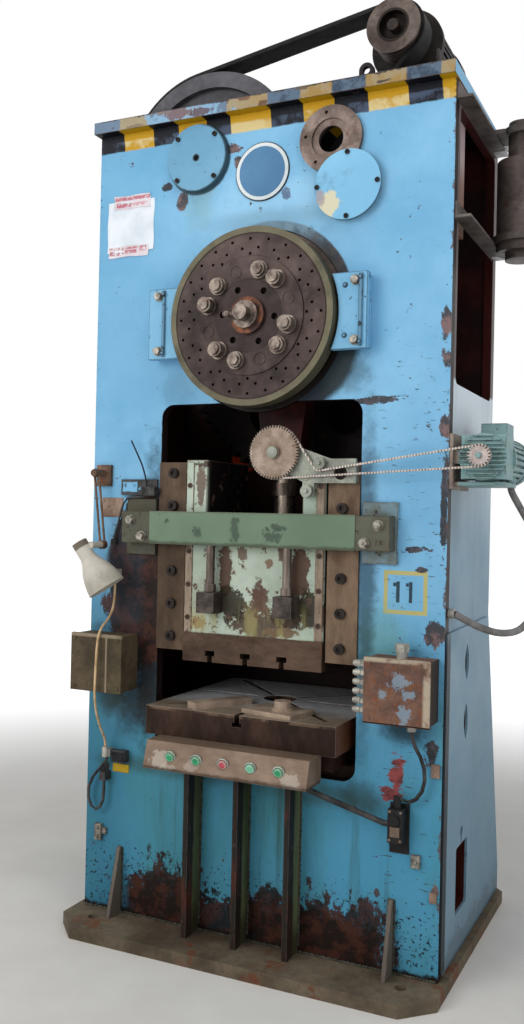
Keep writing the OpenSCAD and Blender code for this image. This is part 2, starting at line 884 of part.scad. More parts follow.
module lamp_arm() {
    color(brown)
        difference() {
            union() {
                rod_y(knuckle_r, lamp_y - 13.6, lamp_y + 8, lamp_x, lamp_z);
                rod_y(knuckle_r, lamp_y - 13.6, lamp_y + 8, lower_knuckle_x, lower_knuckle_z);
                translate([lamp_x, lamp_y - 3, lamp_z])
                    rotate([0, -lamp_lean, 0])
                        for (dx = [-9, 9])
                            translate([dx, 0, -lamp_arm_l + 8]) cylinder(r = 4, h = lamp_arm_l - 16);
            }
            rod_y(4 + run_fit, lamp_y - 15, lamp_y + 9, lamp_x, lamp_z);
            rod_y(4 + run_fit, lamp_y - 15, lamp_y + 9, lower_knuckle_x, lower_knuckle_z);
        }
}

module lamp_head() {
    x = lower_knuckle_x;
    z = lower_knuckle_z;
    y = lamp_y - 14;
    color("whitesmoke") {
        rod_y(4, lamp_y - 14, lamp_y + 12, x, z);
        rod_y(11, y - lamp_reach, lamp_y - 14, x, z);
        translate([x - 30, y - lamp_reach, z - 14])
            rotate([10, -32, 0]) {
                translate([0, 0, -36]) cylinder(r = 27, h = 62);
                translate([0, 0, -36 - shade_l])
                    rotate_extrude()
                        polygon([
                            [shade_r, 0], [shade_r - 2, 20], [shade_r - 7, 46], [shade_r - 16, 72],
                            [shade_r - 27, 94], [shade_r - 35, 110], [29, shade_l], [0, shade_l],
                            [0, shade_l - 4], [26, shade_l - 4], [shade_r - 38, 107], [shade_r - 30, 91],
                            [shade_r - 19, 70], [shade_r - 10, 45], [shade_r - 5, 19], [shade_r - 3, 0]
                        ]);
                translate([0, 0, -90]) cylinder(r = 15, h = 52);
                translate([0, 0, -96]) sphere(r = 22);
            }
    }
}

module sprocket_bracket() {
    x = sprocket_x;
    z = sprocket_z;
    back = chain_y + chain_w + 6;
    color(steel) {
        difference() {
            slab_y(back, back + 10)
                polygon([
                    [x - 40, z - 30], [x - 30, z + 34], [x + 30, z + 34], [x + 186, z - 20],
                    [x + 270, z - 20], [x + 270, z - 96], [x + 100, z - 96]
                ]);
            rod_y(22, back - 1, back + 11, gib_bolt_x, bolt_first + 5 * bolt_pitch);
        }
        block([window_x - 34, back + 10, z - 92], [window_x - 6, gib_y, z - 34]);
        rod_y(11, chain_y - 16, back, x, z);
        rod_y(18, chain_y - 22, chain_y - 16, x, z);
        for (p = [tension_high, tension_low]) {
            rod_y(6, chain_y - 14, back, x + p[0], z + p[1]);
            rod_y(19, chain_y - 6, chain_y + chain_w - 2, x + p[0], z + p[1]);
        }
        block([x + 92, back, z - 140], [x + 132, back + 10, z - 80]);
    }
}

module large_sprocket() {
    color(steel)
        difference() {
            union() {
                slab_y(chain_y - 8, chain_y - 1)
                    translate([sprocket_x, sprocket_z])
                        polygon(wheel(sprocket_teeth, sprocket_r - 4, sprocket_r + 4, 0.32, 0.12, 0));
                rod_y(22, chain_y - 14, chain_y + chain_w + 5, sprocket_x, sprocket_z);
                rod_y(sprocket_r - 3, chain_y - 1, chain_y + chain_w, sprocket_x, sprocket_z);
            }
            rod_y(11 + run_fit, chain_y - 15, chain_y + chain_w + 6, sprocket_x, sprocket_z);
        }
}

module small_sprocket() {
    color(steel)
        difference() {
            union() {
                slab_y(chain_y - 8, chain_y - 1)
                    translate([gearmotor_x, gearmotor_z])
                        polygon(wheel(small_teeth, small_r - 4, small_r + 4, 0.32, 0.12, 0));
                rod_y(small_r - 3, chain_y - 1, chain_y + chain_w + 6, gearmotor_x, gearmotor_z);
            }
            rod_y(9 + run_fit, chain_y - 9, chain_y + chain_w + 7, gearmotor_x, gearmotor_z);
        }
}

// The chain: its links show as a waist between each pair of pins, round the whole loop
module chain() {
    st = stretches([
        [sprocket_x, sprocket_z, sprocket_r, 1], [gearmotor_x, gearmotor_z, small_r, 1],
        [sprocket_x + tension_high[0], sprocket_z + tension_high[1], tension_r, -1]
    ]);
    whole = loop_length(st);
    steps = 2 * round(whole / chain_pitch);
    outer = [for (k = [0 : steps - 1]) loop_point(st, whole * k / steps, k % 2 == 0 ? chain_h : chain_h * 0.55)];
    inner = [for (k = [0 : steps - 1]) loop_point(st, whole * k / steps, k % 2 == 0 ? -chain_in : -chain_in * 0.5)];
    color(steel)
        slab_y(chain_y, chain_y + chain_w)
            difference() {
                polygon(outer);
                polygon(inner);
            }
}

module gearmotor() {
    x = gearmotor_x;
    z = gearmotor_z;
    color(teal) {
        rod_y(9, chain_y - 14, 8, x, z);
        block([x - 66, 8, z - 66], [x + 66, 120, z + 66]);
        rod_y(52, 2, 8, x, z);
        difference() {
            rod_y(74, 120, 330, x, z);
            for (a = [0 : 15 : 345])
                translate([x, 0, z]) rotate([0, a, 0])
                    block([64, 136, -4], [80, 300, 4]);
        }
        rod_y(78, 330, 372, x, z);
        block([x - 40, 150, z + 66], [x + 40, 250, z + 112]);
        block([half_w, 4, z - 96], [half_w + 12, 210, z + 70]);
        block([half_w + 12, 20, z - 20], [x - 66, 110, z + 20]);
        block([half_w + 12, 20, z - 86], [x + 60, 200, z - 74]);
        block([x - 30, 40, z - 74], [x + 30, 110, z - 66]);
        translate(hose_points[hose_end]) cylinder(r = 15, h = 40);
    }
}

module motor() {
    x = motor_x;
    z = motor_z;
    y1 = motor_y + motor_l;
    color(dark) {
        rod_y(18, pulley_y - 4, motor_y, x, z);
        rod_y(motor_r + 8, motor_y, motor_y + 22, x, z);
        difference() {
            rod_y(motor_r, motor_y + 22, y1 - 50, x, z);
            for (a = [0 : 10 : 350])
                translate([x, 0, z]) rotate([0, a, 0])
                    block([motor_r - 20, motor_y + 30, -5], [motor_r + 2, y1 - 58, 5]);
        }
        rod_y(motor_r + 5, y1 - 50, y1, x, z);
        block([x - 96, motor_y + 50, frame_h + 44], [x + 96, motor_y + 230, z - motor_r + 30]);
    }
}

lug_x = 340;
module motor_rails() {
    color(dark) {
        for (x = [motor_x - 120, motor_x + 80])
            difference() {
                block([x, motor_y - 6, frame_h], [x + 44, frame_d - 10, frame_h + 44]);
                block([x + 6, motor_y - 7, frame_h + 6], [x + 38, frame_d - 9, frame_h + 38]);
            }
        block([half_w - 60, -10, frame_h], [half_w - 52, frame_d - 10, frame_h + 52]);
        block([half_w - 52, -10, frame_h], [half_w, frame_d - 10, frame_h + 8]);
        block([lug_x - 40, 20, frame_h], [lug_x + 40, 50, frame_h + 12]);
        difference() {
            union() {
                block([lug_x - 24, 26, frame_h + 12], [lug_x + 24, 44, frame_h + 44]);
                rod_y(24, 26, 44, lug_x, frame_h + 44);
            }
            rod_y(12, 25, 45, lug_x, frame_h + 44);
        }
    }
}

module belt() {
    color(dark)
        slab_y(belt_y, belt_y + belt_w)
            difference() {
                loop_outline(-fly_x, fly_z, fly_r + rest_gap, motor_x, motor_z, pulley_r + rest_gap, belt_t);
                loop_outline(-fly_x, fly_z, fly_r + rest_gap, motor_x, motor_z, pulley_r + rest_gap, 0);
            }
}

// The two angle irons on the open side, which carry the upright cylinder
bracket_low_z = 2330;
bracket_high_z = 2690;
cylinder_x = 758;
cylinder_y = 400;
cylinder_r = 78;
neck_r = 44;
cylinder_h = bracket_high_z - bracket_low_z - 60;
hex_y = 484;
post_d = 200;
post_t = 12;
module side_brackets() {
    color(steel) {
        block([inner_x - post_t, front_t, bracket_low_z], [inner_x, front_t + post_d, bracket_high_z + 40]);
        for (held = [[bracket_low_z, cylinder_r], [bracket_high_z, neck_r]])
            let (z = held[0], r = held[1]) {
                difference() {
                    union() {
                        block([half_w, 6, z], [half_w + 8, 540, z + 50]);
                        block([half_w + 8, 6, z], [half_w + 50, 540, z + 8]);
                        block([half_w + 8, cylinder_y - 60, z + 8], [cylinder_x - r, cylinder_y + 60, z + 20]);
                        translate([cylinder_x, cylinder_y, z + 8]) cylinder(r = r + 14, h = 22);
                    }
                    translate([cylinder_x, cylinder_y, z - 1]) cylinder(r = r + rest_gap, h = 40);
                }
                slab_y(hex_y, hex_y + 36)
                    translate([half_w + 40, z + 36])
                        difference() {
                            circle(32, $fn = 6);
                            circle(13);
                        }
            }
    }
}

module side_cylinder() {
    color(steel) {
        translate([cylinder_x, cylinder_y, bracket_low_z - 20]) {
            cylinder(r = cylinder_r, h = cylinder_h);
            translate([0, 0, -24]) cylinder(r = cylinder_r - 30, h = 24);
            translate([0, 0, cylinder_h]) cylinder(r = neck_r, h = 130);
        }
    }
}

module die_plate() {
    px = 98;
    py = -14;
    color(steel)
        difference() {
            union() {
                translate([px, py, table_z]) rotate([0, 0, -12])
                    block([-95, -62, 0], [95, 74, 14]);
                translate([px + 20, py - 2, table_z + 14]) cylinder(r = 36, h = 8);
                translate([px + 20, py - 2, table_z + 22]) cylinder(r = 27, h = 22);
            }
            translate([px + 20, py - 2, table_z + 8]) cylinder(r = 11, h = 40);
        }
}

module parallel_bar() {
    color(brown)
        translate([-96, 40, table_z]) rotate([0, 0, 58])
            block([-150, -24, 0], [70, 24, 22]);
}

module lamp_cord() {
    color("wheat") tube(cord_points, 4, 8);
}

module side_hose() {
    color("gray") tube(hose_points, 11, 10);
}

module flywheel() {
    x = -fly_x;
    z = fly_z;
    color(dark)
        difference() {
            union() {
                difference() {
                    rod_y(fly_r, fly_y, fly_y + fly_w, x, z);
                    rod_y(fly_r - 52, fly_y - 1, fly_y + 24, x, z);
                    rod_y(fly_r - 52, fly_y + fly_w - 24, fly_y + fly_w + 1, x, z);
                }
                rod_y(86, fly_y, fly_y + fly_w, x, z);
            }
            rod_y(fly_shaft_r, fly_y - 1, fly_y + fly_w + 1, x, z);
            for (a = [0 : 60 : 300])
                rod_y(42, fly_y, fly_y + fly_w, x + 178 * cos(a), z + 178 * sin(a));
        }
}

module flywheel_shaft() {
    x = -fly_x;
    z = fly_z;
    color(steel) {
        rod_y(fly_shaft_r, 2, frame_d + 20, x, z);
        slab_y(gear_y - 2, gear_y + gear_w + 2)
            translate([x, z])
                polygon(wheel(pinion_teeth, pinion_r - gear_m * 1.2, pinion_r + gear_m * 0.85,
                              0.33, 0.13, mesh_angle + 180 + 180 / pinion_teeth));
    }
}

module main_gear() {
    color(brown)
        difference() {
            union() {
                slab_y(gear_y, gear_y + gear_w)
                    translate([0, crank_z])
                        polygon(wheel(gear_teeth, gear_r - gear_m * 1.2, gear_r + gear_m * 0.85,
                                      0.33, 0.13, mesh_angle));
                rod_y(crank_r + 50, gear_y - 30, gear_y + gear_w + 10, 0, crank_z);
            }
            rod_y(crank_r + run_fit, gear_y - 31, gear_y + gear_w + 11, 0, crank_z);
            for (a = [0 : 60 : 300])
                rod_y(88, gear_y - 1, gear_y + gear_w + 1, 290 * cos(a), crank_z + 290 * sin(a));
        }
}

groove_pitch = 12;
module motor_pulley() {
    x = motor_x;
    z = motor_z;
    color(steel)
        difference() {
            union() {
                rod_y(pulley_r, pulley_y + 12, pulley_y + pulley_l, x, z);
                rod_y(pulley_r + 5, pulley_y, pulley_y + 12, x, z);
            }
            rod_y(18 + run_fit, pulley_y - 1, pulley_y + pulley_l + 1, x, z);
            rod_y(46, pulley_y - 1, pulley_y + 30, x, z);
            for (y = [pulley_y + 14 : groove_pitch : pulley_y + pulley_l - 8])
                difference() {
                    rod_y(pulley_r + 1, y, y + 5, x, z);
                    rod_y(pulley_r - 7, y - 1, y + 6, x, z);
                }
        }
}

module crankshaft() {
    color(steel) {
        rod_y(crank_r, disc_y1, frame_d + 14, 0, crank_z);
        rod_y(ecc_r, mid_y - rod_w / 2 - 4, mid_y + rod_w / 2 + 4, 0, crank_z + throw);
    }
}

// A shallow groove between two radii, cut into the face at y
module ring_groove(r1, r0, y, x, z) {
    difference() {
        rod_y(r1, y - 1, y + 2, x, z);
        rod_y(r0, y - 2, y + 3, x, z);
    }
}

disc_face = disc_y0 - 5;
module crank_disc() {
    color(brown)
        difference() {
            union() {
                rod_y(disc_r, disc_y0, disc_y1, 0, crank_z);
                rod_y(190, disc_face, disc_y0, 0, crank_z);
                rod_y(60, disc_y0 - 18, disc_face, 0, crank_z);
            }
            for (ring = [[200, 12, 0], [219, 24, 0.5], [248, 24, 0]])
                for (i = [0 : ring[1] - 1])
                    let (a = (i + ring[2]) * 360 / ring[1])
                        rod_y(5, disc_y0 - 1, disc_y0 + 14, ring[0] * cos(a), crank_z + ring[0] * sin(a));
            for (i = [0 : 5])
                let (a = 55 + i * 60)
                    rod_y(11, disc_face - 1, disc_y0 + 16, 92 * cos(a), crank_z + 92 * sin(a));
            for (i = [0 : 3])
                let (a = 18 + i * 90)
                    ring_groove(21, 18, disc_face, 148 * cos(a), crank_z + 148 * sin(a));
            ring_groove(disc_r - 20, disc_r - 24, disc_y0, 0, crank_z);
        }
}

stud_ring_r = 147;
module disc_studs() {
    color(steel) {
        for (i = [0 : 3])
            for (k = [-1, 1])
                let (a = 61 + i * 90 + k * 14, x = stud_ring_r * cos(a), z = crank_z + stud_ring_r * sin(a),
                     tall = k * (i % 2 * 2 - 1) > 0 ? 46 : 30) {
                    rod_y(29, disc_face - 8, disc_face, x, z);
                    rod_y(24, disc_face - tall + 8, disc_face - 8, x, z);
                    rod_y(17, disc_face - tall, disc_face - tall + 8, x, z);
                }
        rod_y(44, disc_y0 - 34, disc_y0 - 18, 0, crank_z);
        rod_y(24, disc_y0 - 70, disc_y0 - 34, 0, crank_z);
        translate([-62, disc_y0 - 54, crank_z - 2])
            rotate([0, 90, 0]) {
                cylinder(r = 9, h = 44);
                translate([0, 0, 8]) cylinder(r = 14, h = 14, $fn = 6);
            }
    }
}

// The slide's body with its two ears, and a screwed strip along each outer edge of its front
strip_w = 26;
strip_t = 3;
module slide_block() {
    ear = slide_ear_w;
    color(pale_green) {
        difference() {
            slab_y(slide_y0, slide_y1)
                difference() {
                    translate([-slide_x, slide_base]) square([slide_w, slide_ear_h]);
                    translate([-slide_x + ear, slide_shoulder])
                        square([slide_w - 2 * ear, slide_ear_h]);
                }
            translate([0, mid_y, slide_shoulder - 30]) cylinder(r = screw_r + 30, h = 40);
        }
        for (s = [-1, 1]) {
            mirror([s < 0 ? 1 : 0, 0, 0])
                block([slide_x - strip_w - 2, slide_y0 - strip_t, slide_base + 2],
                      [slide_x - 2, slide_y0, slide_top - 6]);
            for (i = [0 : 4])
                socket_head(s * (slide_x - strip_w / 2 - 2), slide_y0 - strip_t,
                            slide_base + 50 + i * bolt_pitch, 8, 4);
        }
    }
}

module slide_plate() {
    color(brown)
        difference() {
            block([-slide_x, slide_y0 - 4, slide_z], [slide_x, slide_y1, slide_base]);
            for (x = [-148, -18, 112]) {
                block([x - 9, slide_y0 - 5, slide_z - 1], [x + 9, slide_y1 + 1, slide_z + 24]);
                block([x - 18, slide_y0 - 5, slide_z + 20], [x + 18, slide_y1 + 1, slide_z + 38]);
            }
        }
}

module connecting_rod() {
    z = crank_z + throw;
    color(steel)
        slab_y(mid_y - rod_w / 2, mid_y + rod_w / 2)
            difference() {
                union() {
                    translate([-throw, z]) circle(big_end_r);
                    translate([throw, z]) circle(big_end_r);
                    translate([-throw, z - big_end_r]) square([2 * throw, 2 * big_end_r]);
                    polygon([
                        [-60, slide_top - 30], [60, slide_top - 30],
                        [110, z - big_end_r + 30], [-110, z - big_end_r + 30]
                    ]);
                }
                for (x = [-throw, throw])
                    translate([x, z]) circle(ecc_r + big_end_slack);
                translate([-throw, z - ecc_r - big_end_slack])
                    square([2 * throw, 2 * (ecc_r + big_end_slack)]);
            }
}

module adjusting_screw() {
    low = slide_shoulder - 30;
    color(steel)
        translate([0, mid_y, 0]) {
            translate([0, 0, low]) cylinder(r = screw_r + 20, h = 34);
            translate([0, 0, low + 34]) cylinder(r = screw_r, h = slide_top - 30 - low - 34);
            translate([0, 0, slide_top - 110]) cylinder(r = screw_r + 10, h = 44);
        }
}

module knockout_lugs() {
    color(dark)
        for (x = [-rod_x, rod_x])
            block([x - 32, slide_y0 - 66, lug_top - lug_h], [x + 32, slide_y0, lug_top]);
}

module port_cover() {
    y1 = -port_ring_t - rest_gap;
    color(blue) {
        rod_y(cover_r, y1 - cover_t, y1, cover_pivot_x, cover_pivot_z - cover_screw_r);
        rod_y(5.9, y1, cover_pin_back - 1, cover_pivot_x, cover_pivot_z);
        for (a = [0 : 90 : 270])
            socket_head(cover_pivot_x + cover_screw_r * cos(a), y1 - cover_t,
                        cover_pivot_z - cover_screw_r + cover_screw_r * sin(a), 8, 5);
    }
}

base_plate();
front_plate();
side_plate_left();
side_plate_right();
back_plate();
top_plate();
side_panel();
front_ribs();
bed();
bolster();
gibs();
knockout_bar();
bar_brackets();
knockout_rods();
shaft_cover();
port_ring();
crank_pads();
crank_bearings();
frame_bolts();
junction_box_left();
junction_box_right();
cable_fittings();
socket_box();
control_panel();
conduits();
lamp_base();
sprocket_bracket();
chain();
gearmotor();
motor();
motor_rails();
belt();
side_brackets();
side_cylinder();
die_plate();
parallel_bar();
lamp_cord();
side_hose();
flywheel();
flywheel_shaft();
main_gear();
motor_pulley();
crankshaft();
crank_disc();
disc_studs();
slide_block();
slide_plate();
connecting_rod();
adjusting_screw();
knockout_lugs();
large_sprocket();
small_sprocket();
button_1();
button_2();
button_3();
button_4();
button_5();
lamp_arm();
lamp_head();
port_cover();
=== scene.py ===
"""Looks of a mechanical stamping press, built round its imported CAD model."""

import functools
import math

import bpy
from mathutils import Matrix, Vector


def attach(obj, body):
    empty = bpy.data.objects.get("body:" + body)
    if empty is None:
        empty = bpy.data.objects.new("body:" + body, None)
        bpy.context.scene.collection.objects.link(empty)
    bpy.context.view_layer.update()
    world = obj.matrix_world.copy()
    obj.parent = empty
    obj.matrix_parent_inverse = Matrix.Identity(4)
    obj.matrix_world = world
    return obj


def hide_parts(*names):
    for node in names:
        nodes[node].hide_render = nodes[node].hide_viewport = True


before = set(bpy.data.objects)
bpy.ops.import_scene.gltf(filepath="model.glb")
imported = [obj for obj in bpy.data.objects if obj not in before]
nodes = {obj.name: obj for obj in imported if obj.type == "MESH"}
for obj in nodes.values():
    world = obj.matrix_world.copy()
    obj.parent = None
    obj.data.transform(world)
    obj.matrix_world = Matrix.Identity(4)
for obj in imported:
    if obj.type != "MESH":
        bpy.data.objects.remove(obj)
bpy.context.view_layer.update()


def placed(name, data):
    """An object of this data in the scene"""
    made = bpy.data.objects.new(name, data)
    bpy.context.scene.collection.objects.link(made)
    return made


# Camera, solved from the corners of the front plate, in metres and radians
CAMERA_PLACE = (1.37504, -2.87533, 1.41999)
CAMERA_YAW = 0.43943257
CAMERA_PITCH = 0.00499796629
CAMERA_ROLL = 0.0219126125
SENSOR_WIDTH = 36
PHOTO_HEIGHT = 1024
FOCAL_PIXELS = 975.896


def make_camera():
    """Makes the scene's camera and looks through it"""
    data = bpy.data.cameras.new("camera")
    data.lens = SENSOR_WIDTH * FOCAL_PIXELS / PHOTO_HEIGHT
    data.sensor_width = SENSOR_WIDTH
    data.clip_start = 0.05
    data.clip_end = 100
    camera = placed("camera", data)
    turn = Matrix.Rotation(CAMERA_YAW, 4, "Z") @ Matrix.Rotation(math.pi / 2 + CAMERA_PITCH, 4, "X")
    camera.matrix_world = Matrix.Translation(CAMERA_PLACE) @ turn @ Matrix.Rotation(CAMERA_ROLL, 4, "Z")
    bpy.context.scene.camera = camera


make_camera()

# Colours and materials. The looks that pieces made here ask for are kept by name
LOOKS = {}
EVEN = (1, 1, 1)


def rgb(code):
    """A colour of six hex digits as linear red, green, blue and alpha"""
    parts = [int(code[i:i + 2], 16) / 255 for i in (0, 2, 4)]
    linear = [c / 12.92 if c <= 0.04045 else ((c + 0.055) / 1.055) ** 2.4 for c in parts]
    return (*linear, 1)


class Shade:
    """A material of some CAD nodes or none, with the colour laid on so far. Six hex digits stand
    for a colour, and a mask is 1 where it holds and 0 elsewhere"""

    def __init__(self, wearers, name, rough, metal=0):
        self.mat = bpy.data.materials.new(name)
        self.mat.use_nodes = True
        self.tree = self.mat.node_tree
        self.bsdf = self.tree.nodes["Principled BSDF"]
        self.bsdf.inputs["Metallic"].default_value = metal
        self.bsdf.inputs["Roughness"].default_value = rough
        self.bsdf.inputs["Specular IOR Level"].default_value = 0.14
        self.place = self.add("ShaderNodeTexCoord").outputs["Object"]
        self.x, self.y, self.z = self.add("ShaderNodeSeparateXYZ", self.place).outputs
        self.colour = None
        self.kept = {}
        LOOKS[name] = self.mat
        for wearer in wearers.split():
            slots = nodes[wearer].data.materials
            slots.clear()
            slots.append(self.mat)

    def add(self, kind, *values, **settings):
        node = self.tree.nodes.new(kind)
        for key, value in settings.items():
            setattr(node, key, value)
        for socket, value in zip(node.inputs, values):
            self.give(socket, value)
        return node

    def give(self, socket, value):
        if isinstance(value, bpy.types.NodeSocket):
            self.tree.links.new(value, socket)
        elif value is not None:
            socket.default_value = rgb(value) if isinstance(value, str) else value

    def math(self, kind, *values):
        return self.add("ShaderNodeMath", *values, operation=kind).outputs[0]

    def times(self, a, b):
        return self.math("MULTIPLY", a, b)

    def plus(self, a, b):
        return self.math("ADD", a, b)

    def minus(self, a, b):
        return self.math("SUBTRACT", a, b)

    def all_of(self, *masks):
        return functools.reduce(self.times, masks)

    def any_of(self, *masks):
        return functools.reduce(lambda a, b: self.math("MAXIMUM", a, b), masks)

    def vector(self, kind, a, b=None):
        node = self.add("ShaderNodeVectorMath", a, b, operation=kind)
        return node.outputs["Value" if kind in ("LENGTH", "DOT_PRODUCT") else "Vector"]

    def mix(self, share, a, b):
        node = self.add("ShaderNodeMix", data_type="RGBA")
        for i, value in ((0, share), (6, a), (7, b)):
            self.give(node.inputs[i], value)
        return node.outputs[2]

    def coat(self, tint, share, *masks):
        """Lays a tint over the colour so far, as strong as its share, where all the masks hold"""
        if share != 1:
            masks += (share,)
        self.colour = self.mix(self.all_of(*masks), self.colour, tint)

    def noise(self, scale, detail=4, rough=0.6, stretch=EVEN, move=0):
        key = (scale, detail, rough, stretch, move)
        if key not in self.kept:
            at = self.place
            if stretch != EVEN:
                at = self.vector("MULTIPLY", at, stretch)
            if move:
                at = self.vector("ADD", at, (move, move, move))
            node = self.add("ShaderNodeTexNoise", noise_dimensions="3D")
            given = {"Vector": at, "Scale": scale, "Detail": detail, "Roughness": rough}
            for socket, value in given.items():
                self.give(node.inputs[socket], value)
            self.kept[key] = node.outputs["Fac"]
        return self.kept[key]

    def rise(self, value, low, high):
        """0 up to low, 1 from high on, smooth between"""
        given = (value, *sorted((low, high)), float(low > high), float(low <= high))
        return self.add("ShaderNodeMapRange", *given, interpolation_type="SMOOTHSTEP").outputs[0]

    def blots(self, low, high, *noise, **more):
        """Blotches where the noise lies above a level"""
        return self.rise(self.noise(*noise, **more), low, high)

    def mottle(self, low_tint, high_tint, *blots, **more):
        """Two tones in blotches"""
        return self.mix(self.blots(*blots, **more), low_tint, high_tint)

    def wobble(self, amount, scale=22):
        return self.times(self.minus(self.noise(scale, 5, 0.65), 0.5), amount)

    def ragged(self, value, amount, scale, low, high):
        """A rise with an uneven edge"""
        return self.rise(self.plus(value, self.wobble(amount, scale)), low, high)

    def reach(self, cx, cz, rx=1, rz=1):
        """The distance from a spot on a face seen from the front, in shares of two radii"""
        away = self.vector("SUBTRACT", self.place, (cx, 0, cz))
        return self.vector("LENGTH", self.vector("MULTIPLY", away, (1 / rx, 0, 1 / rz)))

    def oval(self, cx, cz, rx, rz, rag=0.9, soft=0.12):
        """A ragged oval patch"""
        return self.ragged(self.reach(cx, cz, rx, rz), rag * 2, 22, 1 + soft, 1 - soft)

    def stain(self, cx, cz, rx, rz, fleck=0.5, scale=26, stretch=EVEN):
        """A patch that is whole in its middle and breaks up into flecks outwards"""
        near = self.minus(1, self.reach(cx, cz, rx, rz))
        grain = self.plus(self.times(self.noise(scale, 8, 0.78, stretch, 6), 3.2),
                          self.times(self.noise(scale * 0.4, 3, 0.6, stretch, 2.5), 1.8))
        field = self.plus(near, self.minus(grain, 2))
        return self.all_of(self.rise(field, fleck, fleck + 0.12), self.rise(near, -0.6, -0.3))

    def flecks(self, density, scale=80, stretch=EVEN):
        """Small specks, more of them where the density is high"""
        grain = self.noise(scale, 4, 0.62, stretch, 5)
        return self.rise(self.plus(grain, density), 0.735, 0.765)

    def block(self, x0, x1, z0, z1, rag=0, soft=0.001):
        """A patch between two x and two z values"""
        centre = ((x0 + x1) / 2, 0, (z0 + z1) / 2)
        half = ((x1 - x0) / 2, 10, (z1 - z0) / 2)
        away = self.vector("ABSOLUTE", self.vector("SUBTRACT", self.place, centre))
        split = self.add("ShaderNodeSeparateXYZ", self.vector("SUBTRACT", away, half))
        far = self.math("MAXIMUM", split.outputs[0], split.outputs[2])
        if rag:
            far = self.plus(far, self.wobble(rag))
        return self.rise(far, soft, -soft)

    def within(self, axis, low, high, soft=0.001):
        """1 between two values of one coordinate"""
        mid, half = (low + high) / 2, (high - low) / 2
        return self.rise(self.math("ABSOLUTE", self.minus(axis, mid)), half + soft, half - soft)

    def edge(self, radius=0.006):
        """1 where two faces meet. The first call sets the radius"""
        if "edge" not in self.kept:
            bevel = self.add("ShaderNodeBevel", samples=4)
            bevel.inputs["Radius"].default_value = radius
            plain = self.add("ShaderNodeNewGeometry").outputs["Normal"]
            level = self.vector("DOT_PRODUCT", bevel.outputs[0], plain)
            self.kept["edge"] = self.rise(level, 0.995, 0.86)
        return self.kept["edge"]

    def finish(self, rough, height, strength, depth):
        """Joins the colour, the roughness and a bump to the surface"""
        self.give(self.bsdf.inputs["Base Color"], self.colour)
        self.give(self.bsdf.inputs["Roughness"], rough)
        bump = self.add("ShaderNodeBump")
        for socket, value in (("Strength", strength), ("Distance", depth), ("Height", height)):
            self.give(bump.inputs[socket], value)
        self.give(self.bsdf.inputs["Normal"], bump.outputs[0])


def worn_paint(wearers, name, pale, deep, chips=0.66, chip="4B3C3A", dirt=0.55, soil="2C2420", edges=0.5,
               marks=None):
    """Old paint: two tones, dark chips, worn edges, dirt in large soft patches"""
    s = Shade(wearers, name, 0.5)
    s.colour = s.mottle(deep, pale, 0.3, 0.72, 3.1, 5, 0.62)
    s.coat(deep, 0.22, s.blots(0.45, 0.75, 38, 3, 0.7))
    s.coat(soil, 0.6, s.blots(dirt, dirt + 0.22, 5.2, 6, 0.72, move=7))
    if marks:
        marks(s)
    spots = s.blots(chips, chips + 0.02, 31, 6, 0.72, move=1.7)
    worn = s.all_of(s.edge(), s.blots(1 - edges, 1.06 - edges, 24, 4, 0.7))
    bare = s.any_of(spots, worn)
    s.coat(chip, 1, bare)
    height = s.minus(s.times(s.noise(55, 2), 0.25), bare)
    s.finish(s.plus(s.times(s.noise(12), 0.3), 0.35), height, 0.35, 0.0015)


def old_metal(wearers, name, light, dark, rough, metal, scale, stretch=EVEN, rust=0.62, rust_tint="5A3226",
              marks=None):
    """Handled steel or iron: blotches, fine scratches, rust and brighter edges"""
    s = Shade(wearers, name, rough, metal)
    s.colour = s.mottle(dark, light, 0.32, 0.68, scale, 6, 0.68, stretch)
    s.coat(dark, 0.45, s.blots(0.35, 0.75, scale * 9, 4, 0.7, stretch, 2))
    red = s.blots(rust, rust + 0.1, scale * 1.7, 6, 0.74, move=5)
    s.coat(rust_tint, 0.8, red)
    if marks:
        marks(s)
    s.coat(light, 1, s.edge(0.003), 0.75, s.noise(30))
    gloss = s.plus(s.times(s.noise(scale * 3, 5), 0.45), rough - 0.22)
    height = s.plus(s.noise(scale * 6, 5, 0.7), s.times(red, -0.4))
    s.finish(gloss, height, 0.3, 0.0012)


def plain_skin(wearers, name, pale, deep, rough, metal, scale, bumpy=0.15):
    """Rubber, plastic or thin coat with a little soil in its grain"""
    s = Shade(wearers, name, rough, metal)
    s.colour = s.mottle(pale, deep, 0.35, 0.75, scale, 4, 0.65)
    s.coat(deep, 0.5, s.blots(0.5, 0.8, 7, 5, 0.7))
    gloss = s.plus(s.times(s.noise(scale * 2), 0.25), rough - 0.12)
    s.finish(gloss, s.noise(scale * 6, 3), bumpy, 0.0008)


# Places on the front plate and the top plate's lip, in metres
BAND_LOW = 2.69
BAND_HIGH = 2.8
BAND_SHADE = 2.722
BAND_STEPS = (-0.536, -0.417, -0.317, -0.209, -0.119, 0.028, 0.143, 0.25, 0.362, 0.492)
LAST_STRIPE = 0.597
SQUARE = (0.442, 0.58, 1.132, 1.265)
SQUARE_LINE = 0.013
DIGITS = (0.482, 0.522)
DIGIT_WIDTH = 0.011
CHAIN_PITCH = 0.009525

# Middles of round things, seen from the front, in x and z
DISC = (0, 2.061)
SHAFT_COVER = (-0.242, 2.622)
COVER_GRIME = (-0.238, 2.618)
MOTOR_PULLEY = (0.417, 2.973)
EMBLEM = (-0.001, 2.549)
FINS = (0.738, 1.612)


